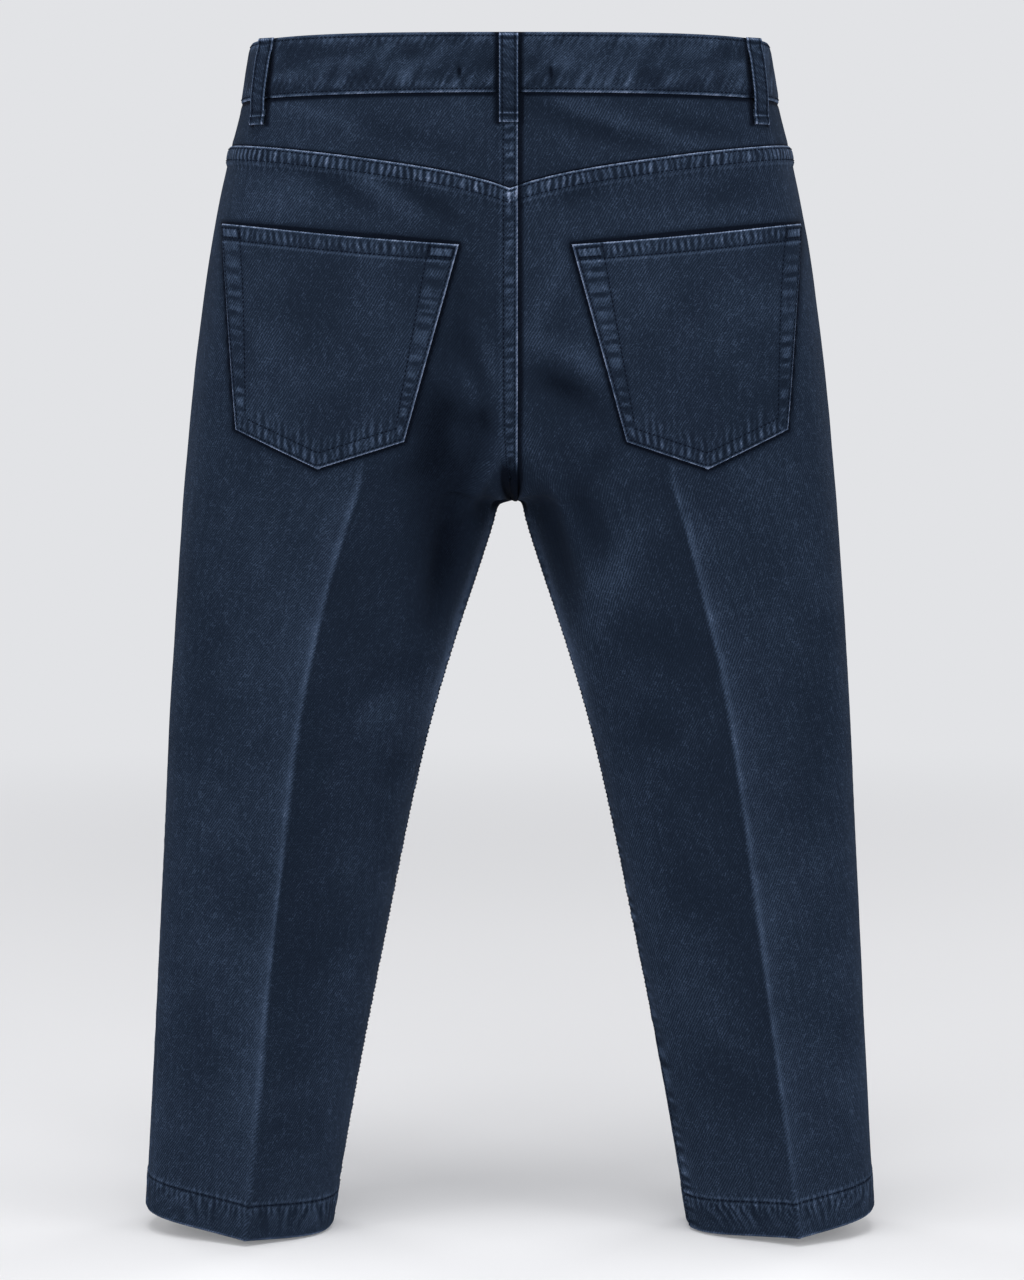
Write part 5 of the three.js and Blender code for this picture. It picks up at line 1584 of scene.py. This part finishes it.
LENS = 92.475
CAMERA_PLACE = (-0.00134, 2.2, -0.159)
CAMERA_TILT = math.radians(5.65)


def aimed(direction):
    """The turn that points a lamp or a camera in a direction."""
    return direction.to_track_quat("-Z", "Y").to_euler()


class TROUSERS_OT_studio(bpy.types.Operator):
    """Lay the pale floor, hang the soft lights and set the camera"""

    bl_idname = "trousers.studio"
    bl_label = "Studio"

    def execute(self, context):
        scene, studio = context.scene, context.scene.trousers_studio
        bpy.ops.object.select_all(action="DESELECT")
        bpy.ops.mesh.primitive_circle_add(
            vertices=96, radius=40, fill_type="NGON", location=(0, 0, studio.floor_height))
        floor = context.object
        floor.name = "studio_floor"
        bpy.ops.object.transform_apply(location=True, rotation=True, scale=True)
        floor.data.materials.append(studio_paper("painted_studio_floor", studio))
        world = bpy.data.worlds.new("soft_room")
        scene.world = world
        world.use_nodes = True
        world.node_tree.nodes.clear()
        # The room looks brighter than the light it gives, as behind a lit sweep.
        add = partial(add_node, world.node_tree)
        level = add("MapRange", {0: add("LightPath").outputs["Is Camera Ray"], 3: studio.room_light, 4: 1.0})
        add("OutputWorld", {"Surface": add("Background", {0: linear(studio.room_colour), 1: level})})
        aim = Vector((0, 0, -0.42))
        for name, place, size, power in (
            ("softbox_left", (1.9, 1.1, 0.1), (0.8, 1.8), 17),
            ("softbox_right", (-1.9, 1.1, 0.1), (0.8, 1.8), 16.5),
            ("softbox_above", (0.2, 1.3, 1.7), (1.6, 0.9), 15),
            ("softbox_top", (0.0, 0.35, 2.1), (1.5, 1.1), 31),
            ("softbox_front_left", (1.8, -1.7, 0.4), (1.0, 2.0), 14),
            ("softbox_front_right", (-1.8, -1.7, 0.4), (1.0, 2.0), 18),
        ):
            light = bpy.data.lights.new(name, "AREA")
            light.shape, light.size, light.size_y, light.energy = "RECTANGLE", size[0], size[1], power
            lamp = bpy.data.objects.new(name, light)
            lamp.location = place
            lamp.rotation_euler = aimed(aim - Vector(place))
            scene.collection.objects.link(lamp)
        # The lens looks a little down on the seat from 2.2 m, level with the pockets.
        camera = bpy.data.cameras.new("camera")
        camera.lens, camera.sensor_width, camera.sensor_fit = LENS, 36.0, "AUTO"
        camera.clip_start, camera.clip_end = 0.05, 100.0
        viewer = bpy.data.objects.new("camera", camera)
        viewer.location = CAMERA_PLACE
        viewer.rotation_euler = aimed(Vector((0, -math.cos(CAMERA_TILT), -math.sin(CAMERA_TILT))))
        scene.collection.objects.link(viewer)
        scene.camera = viewer
        scene.view_settings.view_transform = "Standard"
        return {"FINISHED"}


class TROUSERS_PT_sidebar(bpy.types.Panel):
    """Lists the pieces of the trousers and their sizes and colours"""

    bl_idname = "TROUSERS_PT_sidebar"
    bl_label = "Cropped twill trousers"
    bl_space_type = "VIEW_3D"
    bl_region_type = "UI"
    bl_category = "Trousers"

    def draw(self, context):
        layout, scene = self.layout, context.scene
        for group in (scene.trousers_sewing, scene.trousers_colours, scene.trousers_studio):
            box = layout.box()
            for name in group.__annotations__:
                box.prop(group, name)
        for operator in OPERATORS:
            layout.operator(operator.bl_idname)


OPERATORS = (
    TROUSERS_OT_yokes,
    TROUSERS_OT_back_panels,
    TROUSERS_OT_front_panels,
    TROUSERS_OT_pockets,
    TROUSERS_OT_waistband,
    TROUSERS_OT_belt_loops,
    TROUSERS_OT_fly,
    TROUSERS_OT_button,
    TROUSERS_OT_studio,
)
CLASSES = (TROUSERS_PG_sewing, TROUSERS_PG_colours, TROUSERS_PG_studio) + OPERATORS + (TROUSERS_PT_sidebar,)


def register():
    for made in CLASSES:
        bpy.utils.register_class(made)
    bpy.types.Scene.trousers_sewing = bpy.props.PointerProperty(type=TROUSERS_PG_sewing)
    bpy.types.Scene.trousers_colours = bpy.props.PointerProperty(type=TROUSERS_PG_colours)
    bpy.types.Scene.trousers_studio = bpy.props.PointerProperty(type=TROUSERS_PG_studio)


def unregister():
    del bpy.types.Scene.trousers_sewing
    del bpy.types.Scene.trousers_colours
    del bpy.types.Scene.trousers_studio
    for made in reversed(CLASSES):
        bpy.utils.unregister_class(made)


def main():
    register()
    bpy.ops.trousers.yokes()
    bpy.ops.trousers.back_panels()
    bpy.ops.trousers.front_panels()
    bpy.ops.trousers.pockets()
    bpy.ops.trousers.waistband()
    bpy.ops.trousers.belt_loops()
    bpy.ops.trousers.fly()
    bpy.ops.trousers.button()
    bpy.ops.trousers.studio()


if __name__ == "__main__":
    main()
